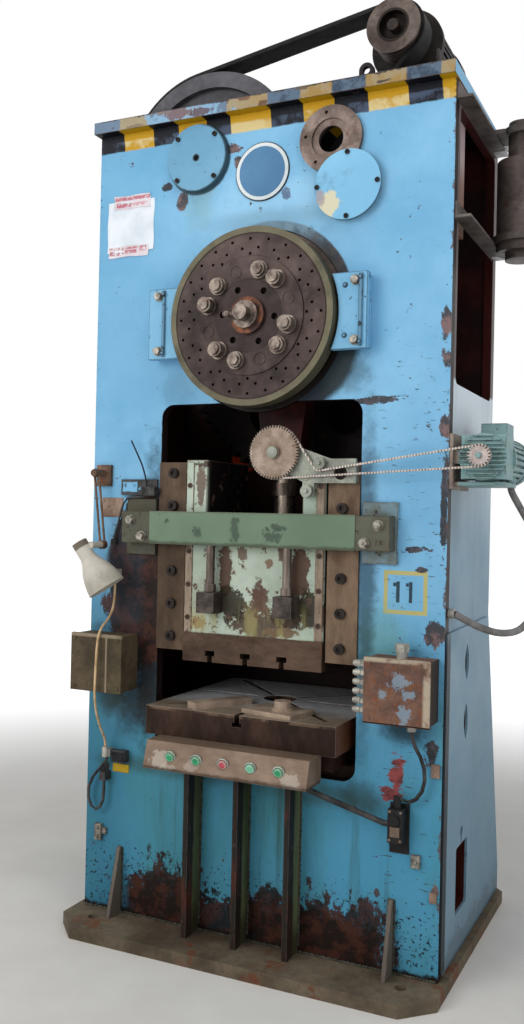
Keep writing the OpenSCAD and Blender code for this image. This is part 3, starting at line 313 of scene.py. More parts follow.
def stripes(s, faded, lean=0.1):
    """1 in the yellow stripes of the warning band, with slanted ends"""
    along = s.plus(s.x, s.times(s.minus(s.z, BAND_LOW), lean))
    along = s.plus(along, s.wobble(0.004, 60))
    whole = [s.within(along, start, end, faded) for start, end in zip(BAND_STEPS[0::2], BAND_STEPS[1::2])]
    return s.any_of(*whole, s.rise(along, LAST_STRIPE, LAST_STRIPE + 0.004))


def front_band(s):
    """The warning band on the front plate, deep at its top as painted shade under the lip"""
    old = s.any_of(s.blots(0.45, 0.62, 12, 5, 0.7, move=4), s.oval(-0.075, 2.696, 0.125, 0.03, 0.5, 0.3))
    # Painted shade: the band keeps its deep, unfaded colours at its top, under the lip
    shaded = s.ragged(s.z, 0.012, 20, BAND_SHADE, BAND_SHADE + 0.006)
    old = s.times(old, s.minus(1, shaded))
    yellow = s.mix(s.times(old, 0.75), "B88E1C", "D3C596")
    black = s.mix(s.times(old, 0.6), "13151C", "54647C")
    paint = s.mix(stripes(s, 0.001), black, yellow)
    s.coat(paint, 1, s.within(s.plus(s.z, s.wobble(0.01, 30)), BAND_LOW, BAND_HIGH, 0.003))


def rusted(s, dark, bright):
    """Two tones of rust in patches"""
    return s.mix(s.blots(0.44, 0.58, 15, 6, 0.7, move=12), dark, bright)


# Flaked stains on the front plate, by their two tones: middle, half widths, fleck level, stretch in Z
FLAKED = (
    ("1C110C", "40231A", (
        (-0.44, 1.19, 0.095, 0.22, 0, 0.6), (-0.415, 1.31, 0.07, 0.15, 0, 0.6),
        (-0.4, 1.06, 0.055, 0.12, 0, 0.6), (-0.49, 1.105, 0.075, 0.045, 0.2, 0.6),
        (-0.3, 0.14, 0.16, 0.11, 0.5, 0.6), (0.07, 0.13, 0.1, 0.09, 0.55, 0.6),
        (0.31, 0.12, 0.19, 0.13, 0.5, 0.6),
    )),
    ("5E2620", "8A3C36", ((0.495, 0.64, 0.032, 0.075, 0.75, 2), (0.478, 0.585, 0.04, 0.028, 0.6, 2))),
    ("3A3230", "765A54", (
        (0.606, 1.085, 0.03, 0.045, 0.5, 0.6), (0.624, 1.7, 0.02, 0.04, 0.6, 0.6),
        (0.624, 1.905, 0.024, 0.035, 0.6, 0.6), (0.622, 2.01, 0.02, 0.06, 0.6, 0.6),
        (-0.305, 2.487, 0.022, 0.034, 0.45, 0.6), (-0.118, 2.64, 0.04, 0.02, 0.5, 2),
        (-0.092, 2.592, 0.018, 0.026, 0.5, 0.6), (0.36, 0.52, 0.018, 0.014, 0.58, 0.6),
        (0.62, 0.3, 0.018, 0.05, 0.6, 0.6),
    )),
    ("2A2624", "4A4040", (
        (0.4, 1.79, 0.075, 0.012, 0.4, 2), (0.54, 1.33, 0.045, 0.012, 0.55, 2),
        (0.56, 1.27, 0.02, 0.01, 0.6, 2), (0.626, 1.48, 0.014, 0.18, 0.55, 0.6),
        (0.6, 0.72, 0.03, 0.07, 0.7, 0.6), (-0.56, 0.52, 0.02, 0.03, 0.55, 0.6),
        (0.44, 0.275, 0.01, 0.014, 0.55, 0.6), (-0.362, 2.545, 0.022, 0.012, 0.5, 2),
    )),
    ("4E6480", "6A7C92", ((0.085, 2.47, 0.014, 0.018, 0.45, 0.6),)),
)
# Soft dark patches on the front plate, of oil and of painted shadow: middle, half widths, strength and
# colour
OIL_AND_SHADE = (
    (-0.235, 2.49, 0.05, 0.09, 0.3, "6F8A6A"), (0.43, 1.02, 0.075, 0.12, 0.55, "5E8F82"),
    (0.3, 1.88, 0.08, 0.06, 0.55, "2E3C40"), (0.02, 2.395, 0.2, 0.03, 0.3, "4E6E80"),
    (-0.3, 1.85, 0.06, 0.06, 0.35, "4E7488"), (-0.385, 1.28, 0.04, 0.33, 0.9, "140E0C"),
    (0.385, 1.25, 0.03, 0.42, 0.7, "1E2A30"), (-0.385, 0.9, 0.06, 0.23, 0.92, "120D0B"),
    (-0.44, 0.78, 0.08, 0.11, 0.8, "1C1712"), (0.38, 0.56, 0.06, 0.05, 0.6, "2C3A34"),
    (-0.3, 0.56, 0.28, 0.03, 0.55, "2F3A2C"), (0.25, 0.545, 0.2, 0.03, 0.5, "35442F"),
    (-0.54, 0.8, 0.06, 0.09, 0.7, "2A2818"), (0.52, 0.785, 0.07, 0.045, 0.8, "121416"),
    (-0.48, 1.02, 0.12, 0.02, 0.6, "2A2A2A"),
)


def front_grime_and_shade(s):
    """Painted shade darkening the paint towards the bottom and the left, murk and oily runs, rust along the
    foot and specks
    """
    # Painted shade: the blue grows darker towards the bottom and on the left
    s.coat("3F8AA8", 0.85, s.rise(s.z, 1.4, 0.45))
    s.coat("1F5468", 0.55, s.rise(s.x, -0.3, -0.6), s.rise(s.z, 1.6, 0.9))
    s.coat("5E98BB", 0.45, s.rise(s.x, -0.1, -0.6), s.rise(s.z, 1.6, 2))
    murk = s.blots(0.44, 0.66, 3.4, 6, 0.68, (1, 1, 0.35), 8)
    s.coat("3D7C80", 0.6, murk, s.rise(s.z, 1.25, 0.85))
    runs = s.blots(0.5, 0.72, 16, 5, 0.6, (1, 1, 0.06), 9)
    s.coat("33472F", 0.6, runs, s.rise(s.z, 0.62, 0.5), s.within(s.x, -0.45, 0.55, 0.08))
    foot = s.plus(s.z, s.plus(s.wobble(0.26, 9), s.wobble(0.3, 48)))
    s.coat(rusted(s, "18100B", "40200F"), 0.95, s.rise(foot, 0.178, 0.16), s.within(s.x, -0.47, 0.45, 0.03))
    s.coat("1D1410", 1, s.ragged(s.z, 0.05, 20, 0.062, 0.048))
    dense = s.any_of(
        s.times(s.rise(s.z, 0.46, 0.16), 0.165),
        s.times(s.rise(s.math("ABSOLUTE", s.x), 0.56, 0.636), 0.1),
        s.times(s.within(s.z, 0.8, 1.25, 0.25), 0.075),
    )
    s.coat("1A1614", 0.92, s.flecks(dense))
    dense = s.times(s.all_of(s.rise(s.x, 0.36, 0.44), s.rise(s.z, 2.2, 1.9)), 0.11)
    s.coat("3C4248", 0.85, s.flecks(dense, 60, (0.3, 1, 1.6)))


def disc_shadow(s):
    """A painted shadow swept round behind the crank disc, a pale patch of painted highlight above it, and a
    dark patch of oil and painted shadow below
    """
    swept = s.oval(0.028, 2.086, 0.298, 0.298, 0.012, 0.012)
    # Painted shadow: a dark crescent round behind the crank disc
    s.coat(s.mottle("1A1513", "43372F", 0.35, 0.62, 30, 5, 0.7), 0.95, swept, s.rise(s.z, 2, 2.12))
    # Painted highlight: a pale patch above the disc
    s.coat("A4D0EA", 0.45, s.oval(0.06, 2.43, 0.26, 0.1, 0.9, 0.7))
    # Oil and painted shadow: a near-black patch at the disc's lower right
    oil_and_shade_below = s.oval(0.06, 1.985, 0.285, 0.25, 0.05, 0.05)
    s.coat("12100F", 0.96, oil_and_shade_below, s.rise(s.x, 0.02, 0.08), s.rise(s.z, 2.16, 2.05))


def painted_number(s):
    """A generic number in its yellow square"""
    x0, x1, z0, z1 = SQUARE
    outer = s.block(x0, x1, z0, z1, 0.004, 0.0015)
    inner = s.block(x0 + SQUARE_LINE, x1 - SQUARE_LINE, z0 + SQUARE_LINE, z1 - SQUARE_LINE, 0.004, 0.0015)
    s.coat("B5A64F", 0.85, s.minus(outer, inner))
    for left in DIGITS:
        upright = s.block(left, left + DIGIT_WIDTH, 1.168, 1.232, 0.004)
        s.coat("1C242B", 0.92, s.any_of(upright, s.block(left - 0.01, left, 1.217, 1.228, 0.004)))


def front_marks(s):
    """What time and use left on the front plate"""
    front_grime_and_shade(s)
    front_band(s)
    disc_shadow(s)
    painted_number(s)
    # Oil and painted shadows on the front plate
    for cx, cz, rx, rz, share, tint in OIL_AND_SHADE:
        s.coat(tint, share, s.oval(cx, cz, rx, rz, 0.8, 0.6))
    patchy = s.blots(0.44, 0.58, 15, 6, 0.7, move=12)
    for dark, bright, spots in FLAKED:
        flakes = s.any_of(*(s.stain(*spot[:5], 26, (1, 1, spot[5])) for spot in spots))
        s.coat(s.mix(patchy, dark, bright), 0.95, flakes)
    s.coat("1F2A2C", 0.85, s.ragged(s.reach(*COVER_GRIME), 0.006, 40, 0.12, 0.115))
    s.coat("5A4640", 0.9, s.ragged(s.x, 0.06, 34, 0.632, 0.636), s.blots(0.5, 0.56, 6, 4, 0.7))
    s.coat("1C1211", 1, s.rise(s.y, 0.0006, 0.002))


def lip_marks(s):
    """The worn lip of the top plate, its underside in deep stripes darkened as painted shade, and its dusty
    top
    """
    old = s.blots(0.4, 0.55, 20, 5, 0.7, move=4)
    left = s.rise(s.x, -0.2, 0.1)
    yellow = s.mix(s.times(old, 0.7), s.mix(left, "A99A74", "A07C2C"), "A3906C")
    black = s.mix(s.times(old, 0.6), s.mix(left, "6E8096", "2E3444"), "66788C")
    paint = s.mix(0.18, s.mix(stripes(s, 0.004, 0), black, yellow), "2A2A2C")
    front = s.rise(s.y, -0.034, -0.037)
    s.coat(paint, 0.94, front)
    s.coat("7FA4BF", 0.85, s.stain(-0.27, 2.775, 0.13, 0.12, 0.4, 18), front)
    top_edge = s.ragged(s.z, 0.03, 40, 2.786, 2.789)
    worn = s.flecks(s.times(s.rise(s.x, 0.3, -0.2), 0.1), 60, (0.5, 1, 1))
    s.coat("2E2828", 0.88, s.any_of(top_edge, worn), front)
    for cx, cz, rx, rz, tint in (
        (-0.3, 2.772, 0.06, 0.02, "6E5656"), (-0.215, 2.765, 0.05, 0.014, "5A4A4E"),
        (-0.37, 2.785, 0.04, 0.01, "7A6A62"), (-0.06, 2.785, 0.03, 0.008, "6A5040"),
        (0.01, 2.76, 0.02, 0.01, "5A4434"), (0.15, 2.785, 0.03, 0.008, "5A5040"),
        (-0.48, 2.755, 0.03, 0.008, "7A6E5A"), (0.42, 2.76, 0.03, 0.006, "3E3A36"),
    ):
        s.coat(tint, 0.9, s.stain(cx, cz, rx, rz, 0.52, 40), front)
    # Painted shade: the underside of the lip in darker stripes
    s.coat(s.mix(stripes(s, 0.001), "0C0D12", "A07C0C"), 1, s.rise(s.z, 2.751, 2.7504))
    s.coat(s.mottle("3B3634", "6C7780", 0.4, 0.65, 7, 6, 0.7), 0.85, s.rise(s.z, 2.7885, 2.7895))


def weathered(s, share):
    """Runs of grime, rust along the foot and scattered chips on the large plain plates"""
    s.coat("6E8A9A", 0.45, s.blots(0.42, 0.64, 2.6, 6, 0.7, (1, 1, 0.6), 5), share)
    s.coat("4C6672", 0.45, s.blots(0.5, 0.7, 6, 6, 0.7, (1, 1, 0.1), 3), share)
    foot = s.plus(s.z, s.plus(s.wobble(0.2, 7), s.wobble(0.26, 44)))
    s.coat(rusted(s, "201612", "4A2416"), 0.92, s.rise(foot, 0.115, 0.1), share)
    dense = s.any_of(s.times(s.rise(s.z, 0.7, 0.12), 0.15),
                     s.times(s.blots(0.46, 0.62, 2.2, 4, 0.6), 0.125))
    s.coat("2A2624", 0.9, s.flecks(s.times(dense, share), 55))


def side_marks(s):
    """Dirt low down and along the edges of the side plates, the left one worn more, and dark cut edges;
    painted shade on their lower part, painted light on their upper part, and a painted shadow under the gear
    motor
    """
    right = s.rise(s.x, 0, 0.01)
    s.coat("5A5A54", 0.5, s.ragged(s.z, 0.25, 7, 0.24, 0.04))
    # Painted shade lower down on both plates, and painted light higher up, stronger on the right plate
    s.coat("5F8194", 0.65, s.rise(s.z, 1.6, 0.6))
    s.coat("DCE5EB", 1, s.rise(s.z, 1.3, 1.75), s.plus(0.3, s.times(right, 0.5)))
    weathered(s, s.plus(0.3, s.times(s.rise(s.x, 0.01, 0), 0.7)))
    # Painted shadow under the gear motor on the right plate
    s.coat("4E5E68", 0.5, s.within(s.z, 1.36, 1.56, 0.07), s.within(s.y, -0.01, 0.16, 0.06), right)
    s.coat("15110F", 0.9, s.ragged(s.y, 0.006, 30, 0.055, 0.046), s.rise(s.z, 1.2, 1))
    s.coat("4A3430", 0.9, s.minus(1, s.rise(s.z, 1.86, 1.845)), right)
    s.coat("35100E", 1, s.rise(s.math("ABSOLUTE", s.x), 0.6345, 0.6335))


def back_marks(s):
    """Bare primer inside, with an orange-red patch behind the working window, and a weathered outside"""
    weathered(s, 1)
    dark = s.mottle("1A0A0A", "3A1414", 0.4, 0.7, 4, 5, 0.7)
    dark = s.mix(s.times(s.block(-0.376, -0.286, 1.6, 1.712, 0.03, 0.004), 0.95), dark, "F0502A")
    s.coat(dark, 1, s.rise(s.y, 0.5995, 0.5985))


def rib_marks(s):
    """Near-black brown front edges with rust, olive flanks towards the plate"""
    olive = s.mottle("3E4A2E", "6B7050", 0.35, 0.7, 10, 5, 0.6, (1, 1, 0.12))
    dark = s.mottle("1E1613", "4A1F14", 0.5, 0.62, 12, 6, 0.7, (1, 1, 0.2), 3)
    s.coat(s.mix(s.ragged(s.y, 0.02, 24, -0.04, -0.052), olive, dark), 0.9)
    s.coat("2E231C", 0.7, s.ragged(s.z, 0.06, 22, 0.16, 0.08))
    s.coat("6A625A", 0.8, s.rise(s.math("ABSOLUTE", s.x), 0.47, 0.48))


def disc_marks(s):
    """Olive rim, brown face with turned rings and an oily dark hub"""
    far = s.reach(*DISC)
    s.coat("2B2422", 0.16, s.rise(s.math("SINE", s.times(far, 900)), 0.2, 0.9))
    s.coat("63604C", 0.75, s.rise(far, 0.262, 0.268))
    for at in (0.265, 0.192, 0.116):
        s.coat("2A2322", 0.85, s.within(far, at - 0.0015, at + 0.0015))
    s.coat("6A5A52", 0.25, s.within(far, 0.12, 0.262, 0.004), s.blots(0.4, 0.62, 6, 6, 0.7, move=2))
    s.coat("28201F", 0.5, s.rise(far, 0.15, 0.095))
    s.coat("1E1A1A", 0.6, s.blots(0.5, 0.72, 4, 5, 0.7, move=11))
    s.coat(s.mottle("3A2A24", "7A4A30", 0.42, 0.6, 26, 5, 0.7), 0.8, s.ragged(far, 0.02, 40, 0.066, 0.05))
    s.coat("7A5A34", 0.5, s.rise(far, 0.04, 0.036), s.rise(s.y, -0.119, -0.123))


def iron_marks(s):
    """Bright nuts on grey angle irons, and the brown post seen in the open side"""
    pale = s.mottle("8E8C8E", "C9C9CC", 0.35, 0.65, 30, 4, 0.7)
    s.coat(pale, 1, s.rise(s.y, 0.482, 0.484), s.rise(s.x, 0.644, 0.646))
    low = s.mottle("6E4A38", "8E6450", 0.35, 0.65, 5, 5, 0.6)
    s.coat(s.mix(s.ragged(s.z, 0.2, 6, 2.45, 2.66), low, "B8A6A8"), 1, s.rise(s.x, 0.6155, 0.615))


def chain_marks(s):
    """Bright pins between darker waists, as painted highlights at the chain's pitch"""
    # Painted highlights on the pins, one to each pitch along x
    s.coat("D6CCC2", 0.75, s.rise(s.math("SINE", s.times(s.x, 2 * math.pi / CHAIN_PITCH)), 0.1, 0.7))


def pulley_marks(s):
    """The bore and web of the motor's pulley lie in deep shade"""
    s.coat("14100E", 0.93, s.rise(s.reach(*MOTOR_PULLEY), 0.056, 0.05))


def gearmotor_marks(s):
    """Brown pads against the press, and painted shade in the gaps between the fins"""
    s.coat(s.mottle("6E5E54", "9A8C82", 0.35, 0.65, 9, 5, 0.65), 1, s.rise(s.x, 0.662, 0.659))
    # Painted shade: dark streaks for the gaps between the fins
    s.coat("3E4C4C", 0.45, s.blots(0.5, 0.7, 6, 5, 0.7, (1, 1, 2.5), 3))


def gib_marks(s):
    """Dark socket screws sunk in oily rings, and a darker left gib"""
    s.coat("241D1A", 1, s.rise(s.y, -0.0085, -0.0095))
    s.coat("1C1412", 0.9, s.rise(s.y, 0, 0.004))
    s.coat("382C24", 0.5, s.blots(0.5, 0.75, 10, 5, 0.65, (1, 1, 0.15), 2))
    s.coat("1E1611", 0.45, s.rise(s.x, 0.01, -0.01))


def slide_marks(s):
    """Pale front with brown chips and scorches between screwed side strips"""
    for *spot, tint in (
        (0.022, 1.16, 0.024, 0.05, 0.45, "54453A"), (-0.04, 1.295, 0.02, 0.024, 0.6, "6A5A4C"),
        (0.02, 1.075, 0.09, 0.045, 0.35, "4C3A30"), (0.03, 1.14, 0.035, 0.06, 0.45, "5A4036"),
        (-0.1, 1.25, 0.022, 0.08, 0.35, "4A3024"), (-0.08, 1.125, 0.06, 0.05, 0.4, "2C2418"),
        (0.165, 1.245, 0.032, 0.09, 0.35, "4A3024"), (0.205, 1.125, 0.055, 0.055, 0.4, "2C2418"),
        (0.13, 1.105, 0.06, 0.035, 0.4, "382A1E"), (0.11, 1.3, 0.02, 0.03, 0.56, "5A4638"),
        (-0.195, 1.52, 0.016, 0.08, 0.52, "6A5A50"), (0.205, 1.52, 0.012, 0.03, 0.6, "5E5048"),
        (-0.175, 1.59, 0.04, 0.012, 0.56, "4A3A34"), (0.06, 1.27, 0.014, 0.018, 0.64, "77604C"),
        (-0.2, 1.06, 0.03, 0.03, 0.6, "8A6A4C"), (0.1, 1.05, 0.06, 0.016, 0.58, "6E5A44"),
    ):
        s.coat(tint, 0.94, s.stain(*spot, 34))
    s.coat("9A9460", 0.6, s.blots(0.5, 0.66, 20, 5, 0.6, (1, 1, 0.2), 6), s.rise(s.z, 1.16, 1.08))
    strips = s.any_of(s.rise(s.x, 0, 0.01), s.rise(s.z, 1.34, 1.33))
    steel = s.mottle("6C5C4E", "A0917F", 0.35, 0.65, 14, 5, 0.7, (1, 1, 0.2))
    s.coat(steel, 1, s.rise(s.y, -0.0163, -0.017), strips)
    s.coat("1E1916", 1, s.rise(s.y, -0.0193, -0.0197))
    s.coat("2A1E1A", 0.85, s.rise(s.y, -0.012, -0.004))
    s.coat("0E0B0A", 1, s.rise(s.y, -0.006, 0.012))


def bolster_marks(s):
    """Grey worked top with painted light towards its back, brown along its front, and a dark oily front face
    """
    s.coat(s.mottle("241812", "463228", 0.4, 0.7, 8, 6, 0.7, (1, 1, 0.4)), 1, s.rise(s.z, 0.7895, 0.7875))
    top = s.rise(s.z, 0.7875, 0.7895)
    # Painted light: the top is made near white towards the back, where the slide shades it
    s.coat("E4E8EC", 0.95, s.ragged(s.y, 0.1, 9, -0.02, 0.16), top)
    s.coat("7A6654", 0.5, s.within(s.z, 0.78, 0.7895, 0.002), s.blots(0.4, 0.55, 14))
    s.coat("6E4630", 0.8, s.rise(s.x, 0.3345, 0.335))
    s.coat("16110F", 1, s.rise(s.z, 0.769, 0.766), top)


def panel_marks(s):
    """Paint rubbed through round the outer buttons and a dark lower edge"""
    for *spot, share in (
        (-0.225, 0.64, 0.04, 0.03, 0.5), (0.225, 0.635, 0.035, 0.028, 0.45),
        (-0.11, 0.635, 0.03, 0.016, 0.3), (-0.19, 0.622, 0.035, 0.01, 0.35),
    ):
        s.coat("B9B2A6", share, s.stain(*spot, 0.56, 30))
    s.coat("33271F", 0.85, s.ragged(s.z, 0.02, 22, 0.626, 0.614))
    s.coat("5A4A3C", 0.6, s.rise(s.z, 0.695, 0.6965))
    s.coat("54463A", 0.5, s.rise(s.y, -0.15, -0.12))


def bar_marks(s):
    """Grimy lower edge, dark smudges and a scuffed top edge"""
    s.coat("39392C", 0.75, s.ragged(s.z, 0.02, 16, 1.337, 1.326))
    s.coat("5A5C4C", 0.5, s.ragged(s.z, 0.012, 30, 1.424, 1.43))
    for spot in (
        (-0.045, 1.375, 0.02, 0.05), (0.085, 1.36, 0.034, 0.03), (-0.18, 1.365, 0.022, 0.02),
        (0.105, 1.385, 0.03, 0.012), (-0.3, 1.4, 0.012, 0.01),
    ):
        s.coat("3C4A3E", 0.8, s.stain(*spot, 0.64, 60))
    s.coat("4E5A48", 0.6, s.rise(s.y, -0.058, -0.05))


def bracket_marks(s):
    """Oily brown washes over the green, with a clean pad edge at the upper right"""
    s.coat("5A5040", 0.6, s.blots(0.42, 0.62, 9, 5, 0.7, (1, 1, 0.5), 2))
    s.coat(s.mottle("6F7F80", "7FA3B4", 0.4, 0.6, 18), 1, s.rise(s.y, -0.013, -0.011), s.rise(s.x, 0, 0.01))
    s.coat("3A3A2C", 0.45, s.rise(s.x, -0.36, -0.37))


def housing_marks(s):
    """Brown-grey ring round the crank, black at its lower right with oil and painted shadow of the crank
    disc
    """
    face = s.rise(s.y, 0.0055, 0.0045)
    s.coat(s.mottle("4E433E", "7C6E66", 0.35, 0.65, 9, 6, 0.7), 1, face)
    # Oil and painted shadow: the lower part of the ring is near black
    s.coat("100D0C", 0.96, face, s.ragged(s.z, 0.16, 7, 2.1, 1.98))


def shaft_cover_marks(s):
    """Oily rim of the shaft cover and a dark middle"""
    far = s.reach(*SHAFT_COVER)
    rim = s.ragged(far, 0.01, 40, 0.106, 0.111)
    side = s.all_of(rim, s.any_of(s.rise(s.x, -0.25, -0.2), s.rise(s.z, 2.6, 2.54)))
    side = s.all_of(side, s.rise(s.math("ABSOLUTE", s.x), 0.4, 0.39), s.rise(s.z, 2.45, 2.48))
    s.coat("2A3A3A", 0.8, side)
    s.coat("2A2622", 0.9, s.ragged(far, 0.006, 60, 0.015, 0.011), s.rise(s.z, 2.5, 2.51))


def right_box_marks(s):
    """Rust through a pale blue coat on the cover, pale edges and dark sides"""
    for spot in ((0.535, 0.94, 0.04, 0.036, 0.85), (0.56, 0.905, 0.03, 0.024, 0.85),
                 (0.545, 0.85, 0.034, 0.036, 0.85), (0.48, 0.9, 0.02, 0.02, 1)):
        s.coat("7F96A6", 0.7, s.stain(*spot, 60))
    edge = s.any_of(s.rise(s.x, 0.598, 0.608), s.rise(s.z, 0.994, 1.002))
    s.coat("B5A994", 0.8, edge, s.rise(s.y, -0.094, -0.098), s.blots(0.36, 0.5, 12))
    s.coat("2B2522", 1, s.rise(s.x, 0.6185, 0.6195), s.rise(s.y, -0.107, -0.104))
    s.coat("241A16", 1, s.rise(s.z, 0.819, 0.8185))


def left_box_marks(s):
    """Pale rim along the top and one side, with olive runs"""
    edge = s.any_of(s.rise(s.z, 0.996, 1.002), s.within(s.x, -0.5, -0.494))
    s.coat("A2927C", 0.6, edge, s.rise(s.y, -0.1, -0.106))
    s.coat("4C4A30", 0.6, s.blots(0.5, 0.7, 12, 5, 0.6, (1, 1, 0.2), 3))


def port_cover_marks(s):
    """Cream patch and grime at the lower left of the swung cover, and dark screws"""
    s.coat("CFC6A4", 0.9, s.stain(0.238, 2.395, 0.05, 0.04, 0.46, 24, (1, 1, 0.6)))
    s.coat("9A8E8C", 0.8, s.stain(0.214, 2.43, 0.02, 0.03, 0.54, 30))
    s.coat("4A4A3E", 0.8, s.rise(s.y, -0.0255, -0.0245))
    s.coat("1A1C1E", 1, s.rise(s.y, -0.0268, -0.0274))


def bolt_marks(s):
    """Hexagon heads are bright, the socket screws stay dark"""
    bright = s.mottle("5E5A52", "9A968C", 0.35, 0.65, 60, 4, 0.7)
    s.coat(bright, 1, s.rise(s.math("ABSOLUTE", s.x), 0.33, 0.34), s.rise(s.z, 2.4, 2.39))


def button_shade(wearers, name, pale, deep):
    """A domed button with a pale worn rim"""
    s = Shade(wearers, name, 0.35)
    s.colour = s.mottle(pale, deep, 0.4, 0.7, 60, 4, 0.7)
    s.coat("CFE0D2", 0.8, s.ragged(s.edge(0.0035), 0.5, 90, 0.35, 0.75))
    s.finish(s.plus(s.times(s.noise(80), 0.3), 0.2), s.noise(200), 0.1, 0.0005)


# Where the lamp's metal holder ends, and the way its bell points
LAMP_HEAD = (-0.5915, -0.12, 1.2979)
LAMP_AXIS = (0.5219, 0.1736, -0.8352)


def lamp_shade(wearers, name):
    """Metal holder above, white bell below"""
    s = Shade(wearers, name, 0.4)
    s.colour = s.mottle("C0BBAF", "958E82", 0.35, 0.75, 9, 5, 0.7)
    down = s.vector("DOT_PRODUCT", s.vector("SUBTRACT", s.place, LAMP_HEAD), LAMP_AXIS)
    s.coat("8B8478", 0.25, s.ragged(down, 0.05, 22, 0.06, 0.125))
    s.coat(s.mix(s.noise(14, 5, 0.7, (1, 1, 0.3)), "4F4A40", "857A6C"), 1, s.rise(down, -0.002, -0.006))
    s.finish(s.plus(s.times(s.noise(30), 0.3), 0.28), s.noise(160), 0.1, 0.0005)


def label_shade(name, pale, deep, bands=()):
    """Paper, with plain coloured strips"""
    s = Shade("", name, 0.45)
    s.colour = s.mottle(pale, deep, 0.35, 0.7, 11)
    for *sides, tint in bands:
        s.coat(tint, 0.8, s.block(*sides, 0.003, 0.0012), s.blots(0.38, 0.5, 70, 3, 0.6))
    s.finish(s.plus(s.times(s.noise(20), 0.25), 0.35), s.noise(50), 0.15, 0.001)


BLUE = ("80B6D7", "6AA3C7")
GREY_BLUE = ("8FA9B8", "7E9AAC")
SIDE_WEAR = {"chips": 0.69, "dirt": 0.66, "soil": "4E5E68", "edges": 0.4}

worn_paint("front_plate", "blue_paint_front", *BLUE, 0.665, dirt=0.7, soil="5C8798", edges=0.45,
           marks=front_marks)
worn_paint("top_plate", "blue_paint_lip", *BLUE, 0.64, edges=0.6, marks=lip_marks)
worn_paint("port_cover", "blue_paint_cover", "84BBDA", "74ADCF", 0.69, edges=0.35, marks=port_cover_marks)
worn_paint("shaft_cover", "blue_paint_shaft", "71A2BE", "6092AF", 0.66, dirt=0.66, soil="5C7F86",
           edges=0.4, marks=shaft_cover_marks)
worn_paint("crank_pads", "blue_paint_pads", "7FB4D3", "6CA3C5", 0.62, "262A2E", 0.6, "4C7688", 0.85)
worn_paint("side_plate_left side_plate_right side_panel", "side_paint", *GREY_BLUE, **SIDE_WEAR,
           marks=side_marks)
worn_paint("back_plate", "side_paint_back", *GREY_BLUE, **SIDE_WEAR, marks=back_marks)
worn_paint("front_ribs", "rib_paint", "4F5F58", "35453A", 0.62, dirt=0.6, soil="2A2018", edges=0.6,
           marks=rib_marks)
worn_paint("slide_block", "slide_paint", "B9C4B6", "98A796", 0.6, "5E4A3E", 0.52, "8B8A70", 0.6, slide_marks)
worn_paint("knockout_bar", "bar_paint", "6E816D", "5E725E", 0.655, "35402F", 0.6, "5B6650", 0.3, bar_marks)
worn_paint("bar_brackets", "bracket_paint", "64665A", "46473C", 0.6, "3E362E", 0.5, "45402F", 0.6,
           bracket_marks)
worn_paint("gearmotor", "teal_paint", "86A3A3", "6C8B8C", 0.66, "4A4A42", 0.52, "465650", 0.5,
           gearmotor_marks)
old_metal("crank_disc", "oily_steel_disc", "463B3A", "2C2422", 0.5, 0.45, 7, rust=0.72, marks=disc_marks)
old_metal("disc_studs", "oily_steel_studs", "857A70", "3F3430", 0.42, 0.6, 30, rust=0.6, rust_tint="7E5238")
old_metal("gibs", "oily_steel_gibs", "75614F", "493A2E", 0.5, 0.45, 8, (1, 1, 0.3), 0.7, marks=gib_marks)
old_metal("slide_plate", "oily_steel_slide", "5A483C", "33271F", 0.5, 0.45, 9, (0.4, 1, 1))
old_metal("knockout_rods", "bare_steel_rods", "8C8078", "4C423C", 0.4, 0.75, 18, (1, 1, 0.2))
old_metal("knockout_lugs", "dark_iron_lugs", "5A524C", "2C2725", 0.45, 0.5, 18)
old_metal("adjusting_screw flywheel_shaft", "bare_steel_bright", "A89A8C", "3A322E", 0.3, 0.85, 14,
          (1, 1, 0.2))
old_metal("crankshaft", "maroon_paint_inside", "2A100E", "120706", 0.55, 0.2, 6, rust=0.7)
old_metal("connecting_rod", "dark_iron_rod", "3E0F0E", "120706", 0.5, 0.2, 7, rust=0.75)
old_metal("main_gear", "dark_iron_gear", "231C1A", "0E0B0A", 0.5, 0.4, 9)
old_metal("crank_bearings", "maroon_paint_housing", "220D0C", "0F0605", 0.5, 0.2, 8, rust=0.72,
          marks=housing_marks)
old_metal("bolster", "oily_steel_bolster", "8E8172", "655849", 0.42, 0.25, 7, rust=0.7, marks=bolster_marks)
old_metal("bed", "maroon_paint_bed", "3C2620", "1E1310", 0.6, 0.15, 6, rust=0.68)
old_metal("base_plate", "rusty_steel_base", "746958", "4A4034", 0.7, 0.1, 5, rust=0.55, rust_tint="6A3A24")
old_metal("flywheel", "dark_iron_flywheel", "59585C", "38373A", 0.5, 0.3, 5, rust=0.76)
old_metal("motor_pulley", "bare_steel_pulley", "685D57", "3A312D", 0.45, 0.5, 12, marks=pulley_marks)
old_metal("motor", "dark_iron_motor", "2E2927", "141110", 0.5, 0.3, 10)
old_metal("motor_rails", "dark_iron_rails", "3A3636", "1E1B1B", 0.6, 0.2, 8)
old_metal("side_cylinder", "dark_iron_cylinder", "6A605C", "3C3432", 0.45, 0.4, 7)
old_metal("side_brackets", "dark_iron_angle", "6A635F", "3A3431", 0.5, 0.3, 8, marks=iron_marks)
old_metal("junction_box_right", "rusty_steel_box", "7E5E4E", "54403A", 0.75, 0.05, 16, rust=0.52,
          rust_tint="7A4A2E", marks=right_box_marks)
old_metal("junction_box_left", "rusty_steel_cabinet", "5E5240", "3C3428", 0.7, 0.1, 9, rust=0.6,
          rust_tint="5C432C", marks=left_box_marks)
old_metal("cable_fittings", "bare_steel_fittings", "C2C0B6", "85827A", 0.45, 0.25, 25, rust=0.74)
old_metal("control_panel", "rusty_steel_panel", "948070", "6E5C4E", 0.6, 0.2, 7, (0.5, 1, 1), 0.66,
          marks=panel_marks)
